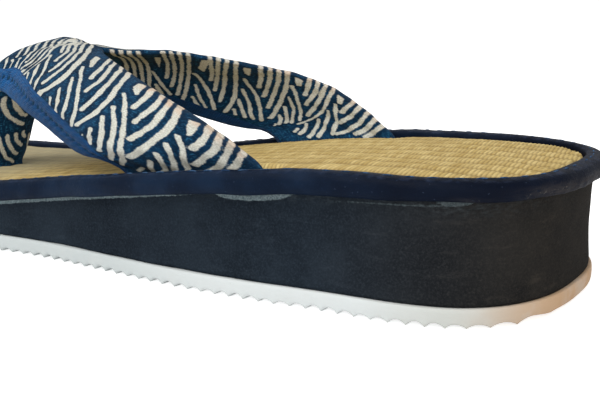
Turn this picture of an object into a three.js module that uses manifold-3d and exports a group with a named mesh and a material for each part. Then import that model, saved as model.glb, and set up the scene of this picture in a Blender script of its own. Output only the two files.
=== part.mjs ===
// Zori sandal, one shoe, standing on its sole.
// Millimetres, +Z up, +Y from heel to toe, X across.  The floor is z = 0 and the
// origin is the middle of the plan box at floor level.
//
//   outsole       white rubber sheet with a transverse ripple tread
//   midsole       foam wedge, high at the heel, low at the forefoot
//   insole        padded board under woven rush, slotted for the strap ends
//   edge_binding  tape rolled round the edge of the footbed
//   strap_upper   two wide padded cloth bands joined over the toe post
import * as THREE from 'three';
import { mergeVertices } from 'three/addons/utils/BufferGeometryUtils.js';
import Module from 'manifold-3d';

const wasm = await Module();
wasm.setup();

// ---------------------------------------------------------------- dimensions
const LENGTH = 244;          // outsole, heel to toe
const BINDING_OUT = 2.3;     // how far the binding stands past the outsole
const RIM_INSET = 3.8;       // from the outsole outline in to the rim's inner edge
const GAP = 0.35;            // clearance between touching pieces
const RUBBER = 4.1;          // outsole, tread tip to top
const PITCH = 3.73;          // tread ripple
const TREAD = 1.1;           // tread ripple depth
const TIP = 0.9;             // flat on each ripple tip
const FIRST_TIP = 5.0;       // first ripple tip from the heel
const STEP = 4.8;            // midsole top up to the rim top
const HEEL_R = 32.5;         // length of the heel rounding
const HEEL_N = 2.52;
const TOE_R = 60;            // length of the toe rounding
const TOE_N = 2.6;
const SPRING_FROM = 196;     // toe spring starts here
const SPRING = 3.2;          // and lifts the toe tip this much
const SLOT_FROM = 57.6;      // strap slot, rear and front
const SLOT_TO = 101.6;
const WALL = 3.0;            // padded strap, middle
const WALL_EDGE = 2.0;       // and at its edges
const POST_Y = 188;          // toe post from the heel

// Half width of the outsole, before the heel and toe are rounded off.
const WIDTH = [ // y, half
  [0, 34.6], [30, 34.9], [60, 34.7], [90, 34.9], [120, 36.8], [150, 39.4], [185, 42.4], [215, 43.2], [244, 43.2],
];
// Top of the foam wedge, which is also the underside of the footbed.
const WEDGE = [ // y, z
  [0, 24.5], [20, 24.6], [45, 24.3], [70, 22.5], [100, 18.8], [130, 14.6], [155, 11.4], [180, 9.5], [205, 8.9], [230, 9.6], [246, 10.8],
];

// Left-hand band, seen from the heel (x < 0).  Each row is one section, from the
// buried end in the slot up over the instep and forward to the toe post.
// rear* is the folded rear edge, front* the taped front edge, crown how far the
// cloth stands out between them, wall its thickness in the middle.
const BAND = [
  // rearX   rearY   rearZ  frontX  frontY  frontZ  crown  wall
  [ -30.2,   59.0,   24.1,  -31.2,   99.6,   19.4,   0.3,   2.3 ],
  [ -30.2,   60.6,   27.4,  -31.3,  100.6,   23.0,   0.8,   2.4 ],
  [ -30.6,   64.6,   30.3,  -32.0,  103.4,   24.6,   1.6,   2.7 ],
  [ -31.2,   69.8,   33.6,  -32.6,  107.6,   25.9,   2.2,   3.0 ],
  [ -31.2,   76.2,   36.9,  -32.4,  113.6,   26.3,   2.6,   3.0 ],
  [ -30.5,   84.0,   40.1,  -30.4,  120.4,   27.8,   3.0,   3.0 ],
  [ -28.2,   92.8,   42.8,  -28.0,  128.2,   30.0,   3.3,   3.0 ],
  [ -24.0,  101.8,   44.8,  -26.0,  136.0,   32.4,   3.6,   3.0 ],
  [ -19.2,  111.2,   46.7,  -23.2,  143.8,   33.9,   4.0,   3.0 ],
  [ -13.0,  122.0,   48.6,  -19.6,  152.0,   35.6,   4.6,   3.0 ],
  [  -6.0,  132.0,   49.9,  -15.6,  160.6,   37.2,   4.8,   3.0 ],
  [   1.0,  140.4,   50.9,  -12.2,  168.6,   38.4,   5.4,   3.0 ],
  [   1.4,  149.4,   52.5,  -10.2,  175.6,   38.2,   4.4,   3.0 ],
  [   1.4,  159.6,   51.8,   -9.2,  181.4,   36.4,   3.2,   3.0 ],
  [   1.4,  170.0,   47.6,   -8.8,  186.0,   33.4,   2.4,   3.0 ],
  [   1.4,  179.6,   42.8,   -8.5,  189.2,   29.8,   2.0,   2.9 ],
  [   1.4,  187.2,   38.2,   -8.2,  190.9,   26.4,   1.8,   2.8 ],
  [   1.2,  192.2,   33.2,   -8.0,  191.5,   23.6,   1.6,   2.6 ],
  [   1.0,  194.0,   27.4,   -7.8,  191.4,   21.4,   1.0,   2.4 ],
];
// Toe post, a padded loop of the same cloth, from the foam up into the junction.
const POST = [ // z, y, half width, half depth
  [ 9.9, 188.0, 6.4, 5.0 ],
  [ 14.6, 188.0, 7.4, 5.6 ],
  [ 20.0, 188.0, 8.0, 6.0 ],
  [ 26.0, 187.6, 9.0, 6.8 ],
  [ 31.0, 186.4, 10.0, 7.6 ],
  [ 35.5, 183.4, 10.2, 8.2 ],
  [ 39.6, 179.0, 8.0, 7.4 ],
  [ 42.4, 175.6, 4.0, 5.0 ],
];

// ------------------------------------------------------------------- helpers
// Smooth value from a table whose first column is the key.
function table(rows, col = 1) {
  const n = rows.length;
  const x = rows.map((r) => r[0]);
  const y = rows.map((r) => r[col]);
  const slope = (i) => {
    if (i <= 0) return (y[1] - y[0]) / (x[1] - x[0]);
    if (i >= n - 1) return (y[n - 1] - y[n - 2]) / (x[n - 1] - x[n - 2]);
    return (y[i + 1] - y[i - 1]) / (x[i + 1] - x[i - 1]);
  };
  return (v) => {
    if (v <= x[0]) return y[0];
    if (v >= x[n - 1]) return y[n - 1];
    let i = 0;
    while (v > x[i + 1]) i++;
    const h = x[i + 1] - x[i];
    const t = (v - x[i]) / h;
    const t2 = t * t;
    const t3 = t2 * t;
    return (2 * t3 - 3 * t2 + 1) * y[i] + (t3 - 2 * t2 + t) * h * slope(i)
      + (-2 * t3 + 3 * t2) * y[i + 1] + (t3 - t2) * h * slope(i + 1);
  };
}
const halfWidth = table(WIDTH);
const wedgeTop = table(WEDGE);
const smooth = (a, b, v) => {
  const t = Math.min(1, Math.max(0, (v - a) / (b - a)));
  return t * t * (3 - 2 * t);
};
const ground = (y) => SPRING * Math.pow(Math.max(0, y - SPRING_FROM) / (LENGTH - SPRING_FROM), 2);
const rimTop = (y) => wedgeTop(y) + STEP;
// The strap ends push the rim outwards where they go down inside it.
const pushed = (y) => smooth(49, 59, y) * (1 - smooth(104, 114, y));

// Plan outline offset outwards by d, as matching stations all the way round,
// starting behind the heel and going up the right side.
const HEEL_STEPS = 8;
const SIDE_STEPS = 15;
const TOE_STEPS = 10;
function outline(d) {
  const right = [];
  for (let i = 0; i < HEEL_STEPS; i++) {
    const a = ((i + 0.5) / HEEL_STEPS) * (Math.PI / 2);
    const y = HEEL_R - (HEEL_R + d) * Math.pow(Math.cos(a), 2 / HEEL_N);
    right.push([(halfWidth(y) + d) * Math.pow(Math.sin(a), 2 / HEEL_N), y]);
  }
  const toeY = LENGTH - TOE_R;
  for (let i = 0; i <= SIDE_STEPS; i++) {
    const y = HEEL_R + ((toeY - HEEL_R) * i) / SIDE_STEPS;
    right.push([halfWidth(y) + d, y]);
  }
  for (let i = TOE_STEPS - 1; i >= 0; i--) {
    const a = ((i + 0.5) / TOE_STEPS) * (Math.PI / 2);
    const y = toeY + (TOE_R + d) * Math.pow(Math.cos(a), 2 / TOE_N);
    right.push([(halfWidth(y) + d) * Math.pow(Math.sin(a), 2 / TOE_N), y]);
  }
  const left = right.map(([x, y]) => [-x, y]).reverse();
  return right.concat(left);
}
// A closed loop: the outline offset by d(y) at height z(y).
function loop(d, z) {
  const at = typeof d === 'function' ? d : () => d;
  const base = outline(0);
  return base.map(([, y0], i) => {
    const [x, y] = outline(at(y0))[i];
    return [x, y, z(y0)];
  });
}
function mesh(points, faces) {
  const g = new THREE.BufferGeometry();
  g.setAttribute('position', new THREE.Float32BufferAttribute(points.flat(), 3));
  g.setIndex(faces.flat());
  return g;
}
function outward(points, faces) {
  let v = 0;
  for (const [a, b, c] of faces) {
    const [p, q, r] = [points[a], points[b], points[c]];
    v += p[0] * (q[1] * r[2] - q[2] * r[1]) - p[1] * (q[0] * r[2] - q[2] * r[0]) + p[2] * (q[0] * r[1] - q[1] * r[0]);
  }
  return mesh(points, v > 0 ? faces : faces.map(([a, b, c]) => [a, c, b]));
}
// A slab from stacked loops, closed above and below by strips across it.
function slab(loops) {
  const n = loops[0].length;
  const points = loops.flat();
  const faces = [];
  for (let k = 0; k + 1 < loops.length; k++) {
    for (let i = 0; i < n; i++) {
      const j = (i + 1) % n;
      const [a, b, c, d] = [k * n + i, k * n + j, (k + 1) * n + j, (k + 1) * n + i];
      faces.push([a, b, c], [a, c, d]);
    }
  }
  const strip = (o, flip) => {
    for (let i = 0; i + 1 < n / 2; i++) {
      const [a, b, c, d] = [o + i, o + i + 1, o + n - 2 - i, o + n - 1 - i];
      const two = [[a, b, c], [a, c, d]];
      two.forEach(([p, q, r]) => faces.push(flip ? [p, r, q] : [p, q, r]));
    }
  };
  strip(0, true);
  strip((loops.length - 1) * n, false);
  return outward(points, faces);
}
// A ring from loops that close on themselves.
function ring(loops) {
  const n = loops[0].length;
  const m = loops.length;
  const points = loops.flat();
  const faces = [];
  for (let k = 0; k < m; k++) {
    for (let i = 0; i < n; i++) {
      const j = (i + 1) % n;
      const k2 = (k + 1) % m;
      const [a, b, c, d] = [k * n + i, k * n + j, k2 * n + j, k2 * n + i];
      faces.push([a, b, c], [a, c, d]);
    }
  }
  return outward(points, faces);
}
function toManifold(geometry) {
  const g = geometry.clone();
  g.deleteAttribute('normal');
  g.deleteAttribute('uv');
  const m = mergeVertices(g, 1e-4);
  return new wasm.Manifold(new wasm.Mesh({
    numProp: 3,
    vertProperties: new Float32Array(m.attributes.position.array),
    triVerts: new Uint32Array(m.index.array),
  }));
}
function fromManifold(solid) {
  const m = solid.getMesh();
  const g = new THREE.BufferGeometry();
  g.setAttribute('position', new THREE.BufferAttribute(new Float32Array(m.vertProperties), 3));
  g.setIndex(new THREE.BufferAttribute(new Uint32Array(m.triVerts), 1));
  return g;
}
// A prism standing on a plan outline.
function prism(plan, z0, z1) {
  const shape = new THREE.Shape(plan.map(([x, y]) => new THREE.Vector2(x, y)));
  const g = new THREE.ExtrudeGeometry(shape, { depth: z1 - z0, bevelEnabled: false });
  g.translate(0, 0, z0);
  return g;
}

// ------------------------------------------------------------------- outsole
function outsoleGeometry() {
  const under = [];
  const tips = Math.floor((LENGTH + 6 - FIRST_TIP) / PITCH);
  for (let k = -2; k <= tips; k++) {
    const y = FIRST_TIP + k * PITCH;
    under.push([y - TIP / 2, ground(y)], [y + TIP / 2, ground(y)]);
    under.push([y + PITCH / 2 - 0.5, ground(y) + TREAD], [y + PITCH / 2 + 0.5, ground(y) + TREAD]);
  }
  const first = under[0][0];
  const last = under[under.length - 1][0];
  const over = [];
  for (let i = 24; i >= 0; i--) {
    const y = first + ((last - first) * i) / 24;
    over.push([y, ground(y) + RUBBER]);
  }
  const shape = new THREE.Shape(under.concat(over).map(([y, z]) => new THREE.Vector2(y, z)));
  const sheet = new THREE.ExtrudeGeometry(shape, { depth: 120, bevelEnabled: false });
  // profile (y, z) extruded across x
  sheet.applyMatrix4(new THREE.Matrix4().makeBasis(
    new THREE.Vector3(0, 1, 0), new THREE.Vector3(0, 0, 1), new THREE.Vector3(1, 0, 0)));
  sheet.translate(-60, 0, 0);
  const plan = prism(outline(0.4), -5, 30);
  return fromManifold(toManifold(sheet).intersect(toManifold(plan)));
}

// ------------------------------------------------------------------- midsole
function midsoleGeometry() {
  const low = (y) => ground(y) + RUBBER + GAP;
  const at = (f) => (y) => low(y) + (wedgeTop(y) - low(y)) * f;
  return slab([
    loop(-0.2, at(0)),
    loop(-0.9, at(0.35)),
    loop(-0.9, at(0.7)),
    loop(-0.3, at(1)),
  ]);
}

// -------------------------------------------------------------------- insole
const slotPlan = (s) => [
  [s * 60, SLOT_FROM], [s * 27.9, SLOT_FROM], [s * 28.9, SLOT_TO], [s * 60, SLOT_TO],
];
function insoleGeometry() {
  const d = -(RIM_INSET + GAP);
  const board = slab([
    loop(d, (y) => wedgeTop(y) + GAP),
    loop(d, (y) => rimTop(y) - 1.0),
    loop(d - 0.5, (y) => rimTop(y) - 0.45),
    loop(d - 2.4, (y) => rimTop(y) - 0.2),
  ]);
  const hole = [];
  for (let i = 0; i < 24; i++) {
    const a = (i / 24) * 2 * Math.PI;
    hole.push([8.0 * Math.cos(a), POST_Y + 6.4 * Math.sin(a)]);
  }
  let solid = toManifold(board);
  for (const s of [-1, 1]) {
    const plan = slotPlan(s);
    solid = solid.subtract(toManifold(prism(s > 0 ? plan : plan.slice().reverse(), 0, 60)));
  }
  solid = solid.subtract(toManifold(prism(hole, 0, 60)));
  return fromManifold(solid);
}

// -------------------------------------------------------------- edge binding
// Rolled section, from the inner foot up over the rim and down the outside.
const ROLL = [ // out from the outline, share of the height
  [ -RIM_INSET, 0.0 ],
  [ -RIM_INSET, 0.86 ],
  [ -RIM_INSET + 0.7, 1.0 ],
  [ 0.2, 1.04 ],
  [ 1.5, 0.94 ],
  [ BINDING_OUT, 0.66 ],
  [ BINDING_OUT, 0.3 ],
  [ 1.2, 0.0 ],
];
function bindingGeometry() {
  const low = (y) => wedgeTop(y) + GAP;
  return ring(ROLL.map(([d, f]) => loop(
    (y) => d + pushed(y) * (d < 0 ? 2.2 : 0.9),
    (y) => low(y) + (rimTop(y) - low(y)) * f)));
}

// -------------------------------------------------------------------- straps
const ACROSS = 9;      // points across the cloth
const ALONG = 40;      // sections along the band
function bandSections() {
  const keys = BAND.map((r, i) => [i, ...r]);
  const col = Array.from({ length: 8 }, (_, c) => table(keys, c + 1));
  const row = (t) => col.map((f) => f(t));
  const sections = [];
  const middle = (t) => {
    const r = row(t);
    return new THREE.Vector3((r[0] + r[3]) / 2, (r[1] + r[4]) / 2, (r[2] + r[5]) / 2);
  };
  for (let k = 0; k <= ALONG; k++) {
    const t = ((BAND.length - 1) * k) / ALONG;
    const r = row(t);
    const rear = new THREE.Vector3(r[0], r[1], r[2]);
    const front = new THREE.Vector3(r[3], r[4], r[5]);
    const path = middle(Math.min(BAND.length - 1, t + 0.3)).sub(middle(Math.max(0, t - 0.3)));
    const chord = front.clone().sub(rear);
    const normal = new THREE.Vector3().crossVectors(path, chord).normalize();
    const out = middle(t).sub(new THREE.Vector3(0, middle(t).y, 14));
    if (normal.dot(out) < 0) normal.negate();
    const width = chord.length();
    const along = chord.clone().normalize();
    const centre = (v) => [v * width, r[6] * Math.sin(Math.PI * Math.pow(v, 1.15))];
    const outer = [];
    const inner = [];
    for (let i = 0; i < ACROSS; i++) {
      const v = i / (ACROSS - 1);
      const [s, h] = centre(v);
      const [s1, h1] = centre(Math.min(1, v + 0.02));
      const [s0, h0] = centre(Math.max(0, v - 0.02));
      const len = Math.hypot(s1 - s0, h1 - h0);
      const nx = -(h1 - h0) / len;
      const ny = (s1 - s0) / len;
      const edge = Math.min(1, 4 * Math.min(v, 1 - v));
      const half = (WALL_EDGE + (r[7] - WALL_EDGE) * edge) / 2;
      const place = (a, b) => rear.clone().addScaledVector(along, a).addScaledVector(normal, b).toArray();
      outer.push(place(s + nx * half, h + ny * half));
      inner.push(place(s - nx * half, h - ny * half));
    }
    sections.push(outer.concat(inner.reverse()));
  }
  return sections;
}
// Sections of matching points, capped by strips between their two halves.
function loft(sections, cap) {
  const n = sections[0].length;
  const points = sections.flat();
  const faces = [];
  for (let k = 0; k + 1 < sections.length; k++) {
    for (let i = 0; i < n; i++) {
      const j = (i + 1) % n;
      const [a, b, c, d] = [k * n + i, k * n + j, (k + 1) * n + j, (k + 1) * n + i];
      faces.push([a, b, c], [a, c, d]);
    }
  }
  cap(faces, 0, n, true);
  cap(faces, (sections.length - 1) * n, n, false);
  return outward(points, faces);
}
const stripCap = (faces, o, n, flip) => {
  for (let i = 0; i + 1 < n / 2; i++) {
    const [a, b, c, d] = [o + i, o + i + 1, o + n - 2 - i, o + n - 1 - i];
    [[a, b, c], [a, c, d]].forEach(([p, q, r]) => faces.push(flip ? [p, r, q] : [p, q, r]));
  }
};
const fanCap = (faces, o, n, flip) => {
  for (let i = 1; i + 1 < n; i++) faces.push(flip ? [o, o + i + 1, o + i] : [o, o + i, o + i + 1]);
};
function mirrored(sections) {
  return sections.map((s) => s.map(([x, y, z]) => [-x, y, z]));
}
function strapGeometry() {
  const sections = bandSections();
  const left = toManifold(loft(sections, stripCap));
  const right = toManifold(loft(mirrored(sections), stripCap));
  const post = POST.map(([z, y, w, d]) => {
    const pts = [];
    for (let i = 0; i < 20; i++) {
      const a = (i / 20) * 2 * Math.PI;
      const c = Math.cos(a);
      const s = Math.sin(a);
      pts.push([w * Math.sign(c) * Math.pow(Math.abs(c), 0.8), y + d * Math.sign(s) * Math.pow(Math.abs(s), 0.8), z]);
    }
    return pts;
  });
  return fromManifold(left.add(right).add(toManifold(loft(post, fanCap))));
}

// --------------------------------------------------------------------- group
const shoe = new THREE.Group();
const pieces = [
  ['outsole', outsoleGeometry(), { color: 0xe6e2dc, roughness: 0.75, metalness: 0 }],
  ['midsole', midsoleGeometry(), { color: 0x262c34, roughness: 0.9, metalness: 0 }],
  ['insole', insoleGeometry(), { color: 0xc7af78, roughness: 0.85, metalness: 0 }],
  ['edge_binding', bindingGeometry(), { color: 0x242c3e, roughness: 0.6, metalness: 0 }],
  ['strap_upper', strapGeometry(), { color: 0x1f4468, roughness: 0.9, metalness: 0 }],
];
for (const [name, geometry, look] of pieces) {
  const m = new THREE.Mesh(geometry, new THREE.MeshStandardMaterial(look));
  m.name = name;
  shoe.add(m);
}
shoe.position.set(0, -LENGTH / 2, 0);
shoe.updateMatrixWorld(true);

export default shoe;
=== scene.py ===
"""Zori sandal: the looks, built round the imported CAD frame.

Lengths in this script are in millimetres in the sole's own frame (y = 0 at the
back of the heel, z = 0 on the floor) and are turned into metres, with the
frame's origin, in one place: put().
"""
import math

import bpy
import numpy as np
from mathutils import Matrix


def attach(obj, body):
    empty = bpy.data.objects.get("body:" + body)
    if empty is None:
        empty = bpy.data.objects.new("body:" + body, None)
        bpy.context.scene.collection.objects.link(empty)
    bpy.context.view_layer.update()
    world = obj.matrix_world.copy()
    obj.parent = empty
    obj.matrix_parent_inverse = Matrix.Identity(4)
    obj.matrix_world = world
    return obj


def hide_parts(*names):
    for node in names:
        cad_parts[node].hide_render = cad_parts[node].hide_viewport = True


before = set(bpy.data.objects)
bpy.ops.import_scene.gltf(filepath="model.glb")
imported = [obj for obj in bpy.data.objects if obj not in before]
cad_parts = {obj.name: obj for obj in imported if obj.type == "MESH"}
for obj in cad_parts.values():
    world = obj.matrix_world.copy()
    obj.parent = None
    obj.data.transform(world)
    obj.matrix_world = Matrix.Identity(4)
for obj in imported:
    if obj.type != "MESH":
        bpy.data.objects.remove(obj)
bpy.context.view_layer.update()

# --------------------------------------------------------------- dimensions
LENGTH = 244.0
BINDING_OUT = 2.3
RIM_INSET = 3.8
GAP = 0.35
RUBBER = 4.1
PITCH = 3.73
TREAD = 1.1
FIRST_TIP = 5.0
STEP = 4.8
HEEL_R, HEEL_N = 32.5, 2.52
TOE_R, TOE_N = 60.0, 2.6
SPRING_FROM, SPRING = 196.0, 3.2
SLOT_FROM, SLOT_TO = 57.6, 101.6
POST_Y = 188.0
WIDTH = [(0, 34.6), (30, 34.9), (60, 34.7), (90, 34.9), (120, 36.8), (150, 39.4), (185, 42.4), (215, 43.2), (244, 43.2)]
ARCH = [(0, 0.0), (22, 0.2), (42, 1.3), (60, 3.3), (76, 4.2), (90, 3.9), (106, 2.2), (122, 0.5), (136, 0.0), (244, 0.0)]
SOLE = ("outsole_rubber", "midsole_foam", "insole_rush", "binding_roll", "binding_stitches")
WEDGE = [(0, 24.5), (20, 24.6), (45, 24.3), (70, 22.5), (100, 18.8), (130, 14.6), (155, 11.4), (180, 9.5), (205, 8.9), (230, 9.6), (246, 10.8)]
# rearX, rearY, rearZ, frontX, frontY, frontZ, crown, wall
BAND = [
    (-30.2, 59.0, 24.1, -31.2, 99.6, 19.4, 0.3, 2.3), (-30.2, 60.6, 27.4, -31.3, 100.6, 23.0, 0.8, 2.4),
    (-30.6, 64.6, 30.3, -32.0, 103.4, 24.6, 1.6, 2.7), (-31.2, 69.8, 33.6, -32.6, 107.6, 25.9, 2.2, 3.0),
    (-31.2, 76.2, 36.9, -32.4, 113.6, 26.3, 2.6, 3.0), (-30.5, 84.0, 40.1, -30.4, 120.4, 27.8, 3.0, 3.0),
    (-28.2, 92.8, 42.8, -28.0, 128.2, 30.0, 3.3, 3.0), (-24.0, 101.8, 44.8, -26.0, 136.0, 32.4, 3.6, 3.0),
    (-19.2, 111.2, 46.7, -23.2, 143.8, 33.9, 4.0, 3.0), (-13.0, 122.0, 48.6, -19.6, 152.0, 35.6, 4.6, 3.0),
    (-6.0, 132.0, 49.5, -15.6, 160.6, 37.2, 4.8, 3.0), (1.0, 140.4, 50.9, -12.2, 168.6, 38.4, 5.4, 3.0),
    (1.4, 149.4, 53.4, -10.2, 175.6, 38.2, 4.4, 3.0), (1.4, 158.6, 53.0, -9.2, 181.4, 36.4, 3.2, 3.0),
    (1.4, 169.0, 47.9, -8.8, 186.0, 33.4, 2.3, 3.0), (1.4, 179.2, 41.8, -8.5, 189.2, 29.8, 1.5, 2.9),
    (1.4, 187.2, 38.2, -8.2, 190.9, 26.4, 1.8, 2.8), (1.2, 192.2, 33.2, -8.0, 191.5, 23.6, 1.6, 2.6),
    (1.0, 194.0, 27.4, -7.8, 191.4, 21.4, 1.0, 2.4),
]
# z, y, half width, half depth
POST = [
    (9.9, 188.0, 6.4, 5.0), (14.6, 188.0, 7.4, 5.6), (20.0, 188.0, 8.0, 6.0), (26.0, 187.6, 9.0, 6.8),
    (31.0, 186.4, 10.0, 7.6), (35.5, 183.4, 10.2, 8.2), (39.6, 179.0, 8.0, 7.4), (42.4, 175.6, 4.0, 5.0),
]
TAPE = 7.6            # edge tape on the face of the strap
TAPE_IN = 3.4         # and on its inside
TAPE_STITCH = 3.4     # its stitch length
TAPE_RUN = [(-9, 0.05), (4.5, 0.12), (9, 0.34), (14.5, 0.68), (20, 0.96), (26, 1.0), (160, 1.0)]


# ------------------------------------------------------------------ numbers
def table(rows, col=1):
    """Smooth value from a table whose first column is the key."""
    x = np.array([r[0] for r in rows], float)
    y = np.array([r[col] for r in rows], float)
    m = np.empty(len(x))
    m[1:-1] = (y[2:] - y[:-2]) / (x[2:] - x[:-2])
    m[0] = (y[1] - y[0]) / (x[1] - x[0])
    m[-1] = (y[-1] - y[-2]) / (x[-1] - x[-2])

    def at(v):
        v = np.clip(np.asarray(v, float), x[0], x[-1])
        i = np.clip(np.searchsorted(x, v, side="right") - 1, 0, len(x) - 2)
        h = x[i + 1] - x[i]
        t = (v - x[i]) / h
        t2, t3 = t * t, t * t * t
        return ((2 * t3 - 3 * t2 + 1) * y[i] + (t3 - 2 * t2 + t) * h * m[i]
                + (-2 * t3 + 3 * t2) * y[i + 1] + (t3 - t2) * h * m[i + 1])
    return at


half_width = table(WIDTH)
arch = table(ARCH)
wedge_top = table(WEDGE)


def step(a, b, v):
    t = np.clip((np.asarray(v, float) - a) / (b - a), 0, 1)
    return t * t * (3 - 2 * t)


def ground(y):
    return SPRING * (np.maximum(0, y - SPRING_FROM) / (LENGTH - SPRING_FROM)) ** 2


def rim_top(y):
    return wedge_top(y) + STEP


def heel_lift(y):
    """The binding is a little slimmer round the heel: its lower edge, and the foam's top, rise."""
    return 0.7 * (1 - step(12, 45, y))


def pushed(y):
    return step(49, 59, y) * (1 - step(104, 114, y))


def wobble(a, b, size, seed, waves=7):
    """A smooth, seeded, even field of about -1..1 with features of this size."""
    r = np.random.RandomState(seed)
    out = np.zeros(np.broadcast(a, b).shape)
    for _ in range(waves):
        ang = r.uniform(0, 2 * math.pi)
        k = 2 * math.pi / (size * r.uniform(0.7, 1.6))
        out = out + np.sin(k * (a * math.cos(ang) + b * math.sin(ang)) + r.uniform(0, 6.283))
    return out / math.sqrt(waves) / 1.3


def bump_at(x, at, width):
    return np.exp(-((x - at) / width) ** 2)


# ------------------------------------------------------------------- meshes
def put(points):
    return (np.asarray(points, float) + [0, -LENGTH / 2, 0]) * 0.001


def make(name, points, faces, material, values=None, uv=None, smooth=True):
    """A mesh object. values: {attribute: one number a vertex}; uv: two numbers a vertex."""
    me = bpy.data.meshes.new(name)
    if name in SOLE:
        # the sole is a little fuller at the arch than its plain outline
        points = np.array(points, float)
        points[:, 0] += np.sign(points[:, 0]) * arch(points[:, 1]) * step(17, 33, np.abs(points[:, 0]))
    pts = put(points)
    me.from_pydata(pts.tolist(), [], [list(map(int, f)) for f in faces])
    me.update()
    if uv is not None:
        loops = np.empty(len(me.loops), np.int32)
        me.loops.foreach_get("vertex_index", loops)
        layer = me.uv_layers.new(name="cloth")
        layer.data.foreach_set("uv", np.asarray(uv, np.float32)[loops].ravel())
    for key, val in (values or {}).items():
        a = me.attributes.new(key, "FLOAT", "POINT")
        a.data.foreach_set("value", np.asarray(val, np.float32).ravel())
    me.polygons.foreach_set("use_smooth", [smooth] * len(me.polygons))
    me.materials.append(material)
    o = bpy.data.objects.new(name, me)
    bpy.context.scene.collection.objects.link(o)
    return o


def outwards(o):
    """Turns the faces of a closed mesh to the outside."""
    import bmesh
    bm = bmesh.new()
    bm.from_mesh(o.data)
    bmesh.ops.recalc_face_normals(bm, faces=bm.faces)
    bm.to_mesh(o.data)
    bm.free()
    o.data.update()
    return o


def tube_faces(rows, n, close_rows=False):
    """Quads between rows of n points, each row a closed loop."""
    k = np.arange(rows if close_rows else rows - 1)[:, None]
    i = np.arange(n)[None, :]
    k2 = (k + 1) % rows
    j = (i + 1) % n
    return np.stack([k * n + i + 0 * j, k * n + j, k2 * n + j, k2 * n + i], -1).reshape(-1, 4)


def grid_faces(rows, n):
    k = np.arange(rows - 1)[:, None]
    i = np.arange(n - 1)[None, :]
    return np.stack([k * n + i, k * n + i + 1, (k + 1) * n + i + 1, (k + 1) * n + i], -1).reshape(-1, 4)


class Plan:
    """Stations round the sole's outline, heel to toe, for one side; the other is its mirror."""

    def __init__(self, ys=None, heel=56, side=0.8, toe=70):
        toe_y = LENGTH - TOE_R
        a = (np.arange(heel) + 0.5) / heel * (math.pi / 2)
        y_heel = HEEL_R * (1 - np.cos(a) ** (2 / HEEL_N))
        y_side = np.linspace(HEEL_R, toe_y, int((toe_y - HEEL_R) / side) + 1)
        b = (np.arange(toe) + 0.5) / toe * (math.pi / 2)
        y_toe = toe_y + TOE_R * np.cos(b) ** (2 / TOE_N)
        y = np.concatenate([y_heel, y_side, y_toe]) if ys is None else np.concatenate([y_heel, np.asarray(ys), y_toe])
        y = np.unique(np.round(y, 4))
        keep = np.concatenate([[True], np.diff(y) > 0.012])
        self.y0 = y[keep]
        self.n = len(self.y0)

    def right(self, d):
        """x and y of the outline offset outwards by d."""
        y0 = self.y0
        d = np.broadcast_to(np.asarray(d, float), y0.shape)
        d = d * (1 - 0.24 * step(-1.0, -2.6, d) * (1 - step(10, 50, y0)))
        toe_y = LENGTH - TOE_R
        ch = np.clip((HEEL_R - y0) / HEEL_R, 0, 1)
        ah = np.arccos(ch ** (HEEL_N / 2))
        ct = np.clip((y0 - toe_y) / TOE_R, 0, 1)
        at = np.arccos(ct ** (TOE_N / 2))
        y = np.where(y0 < HEEL_R, HEEL_R - (HEEL_R + d) * ch, np.where(y0 > toe_y, toe_y + (TOE_R + d) * ct, y0))
        w = half_width(y) + d
        n_heel = HEEL_N + 0.24 * np.clip(-d, 0, 4)       # the footbed's own heel corners are squarer
        s = np.where(y0 < HEEL_R, np.sin(ah) ** (2 / n_heel), np.where(y0 > toe_y, np.sin(at) ** (2 / TOE_N), 1.0))
        return w * s, y

    def loop(self, d, z, wave=None):
        """The closed loop, right side heel to toe then left side back. wave is not used."""
        x, y = self.right(d)
        zz = z(y) if callable(z) else np.broadcast_to(z, y.shape)
        r = np.stack([x, y, zz], -1)
        left = r[::-1] * [-1, 1, 1]
        return np.concatenate([r, left])


def ladder_cap(n_side, offset):
    """Quads across a loop made by Plan.loop, joining the two sides."""
    i = np.arange(n_side - 1)
    n = 2 * n_side
    return np.stack([offset + i, offset + i + 1, offset + n - 2 - i, offset + n - 1 - i], -1)


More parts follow.
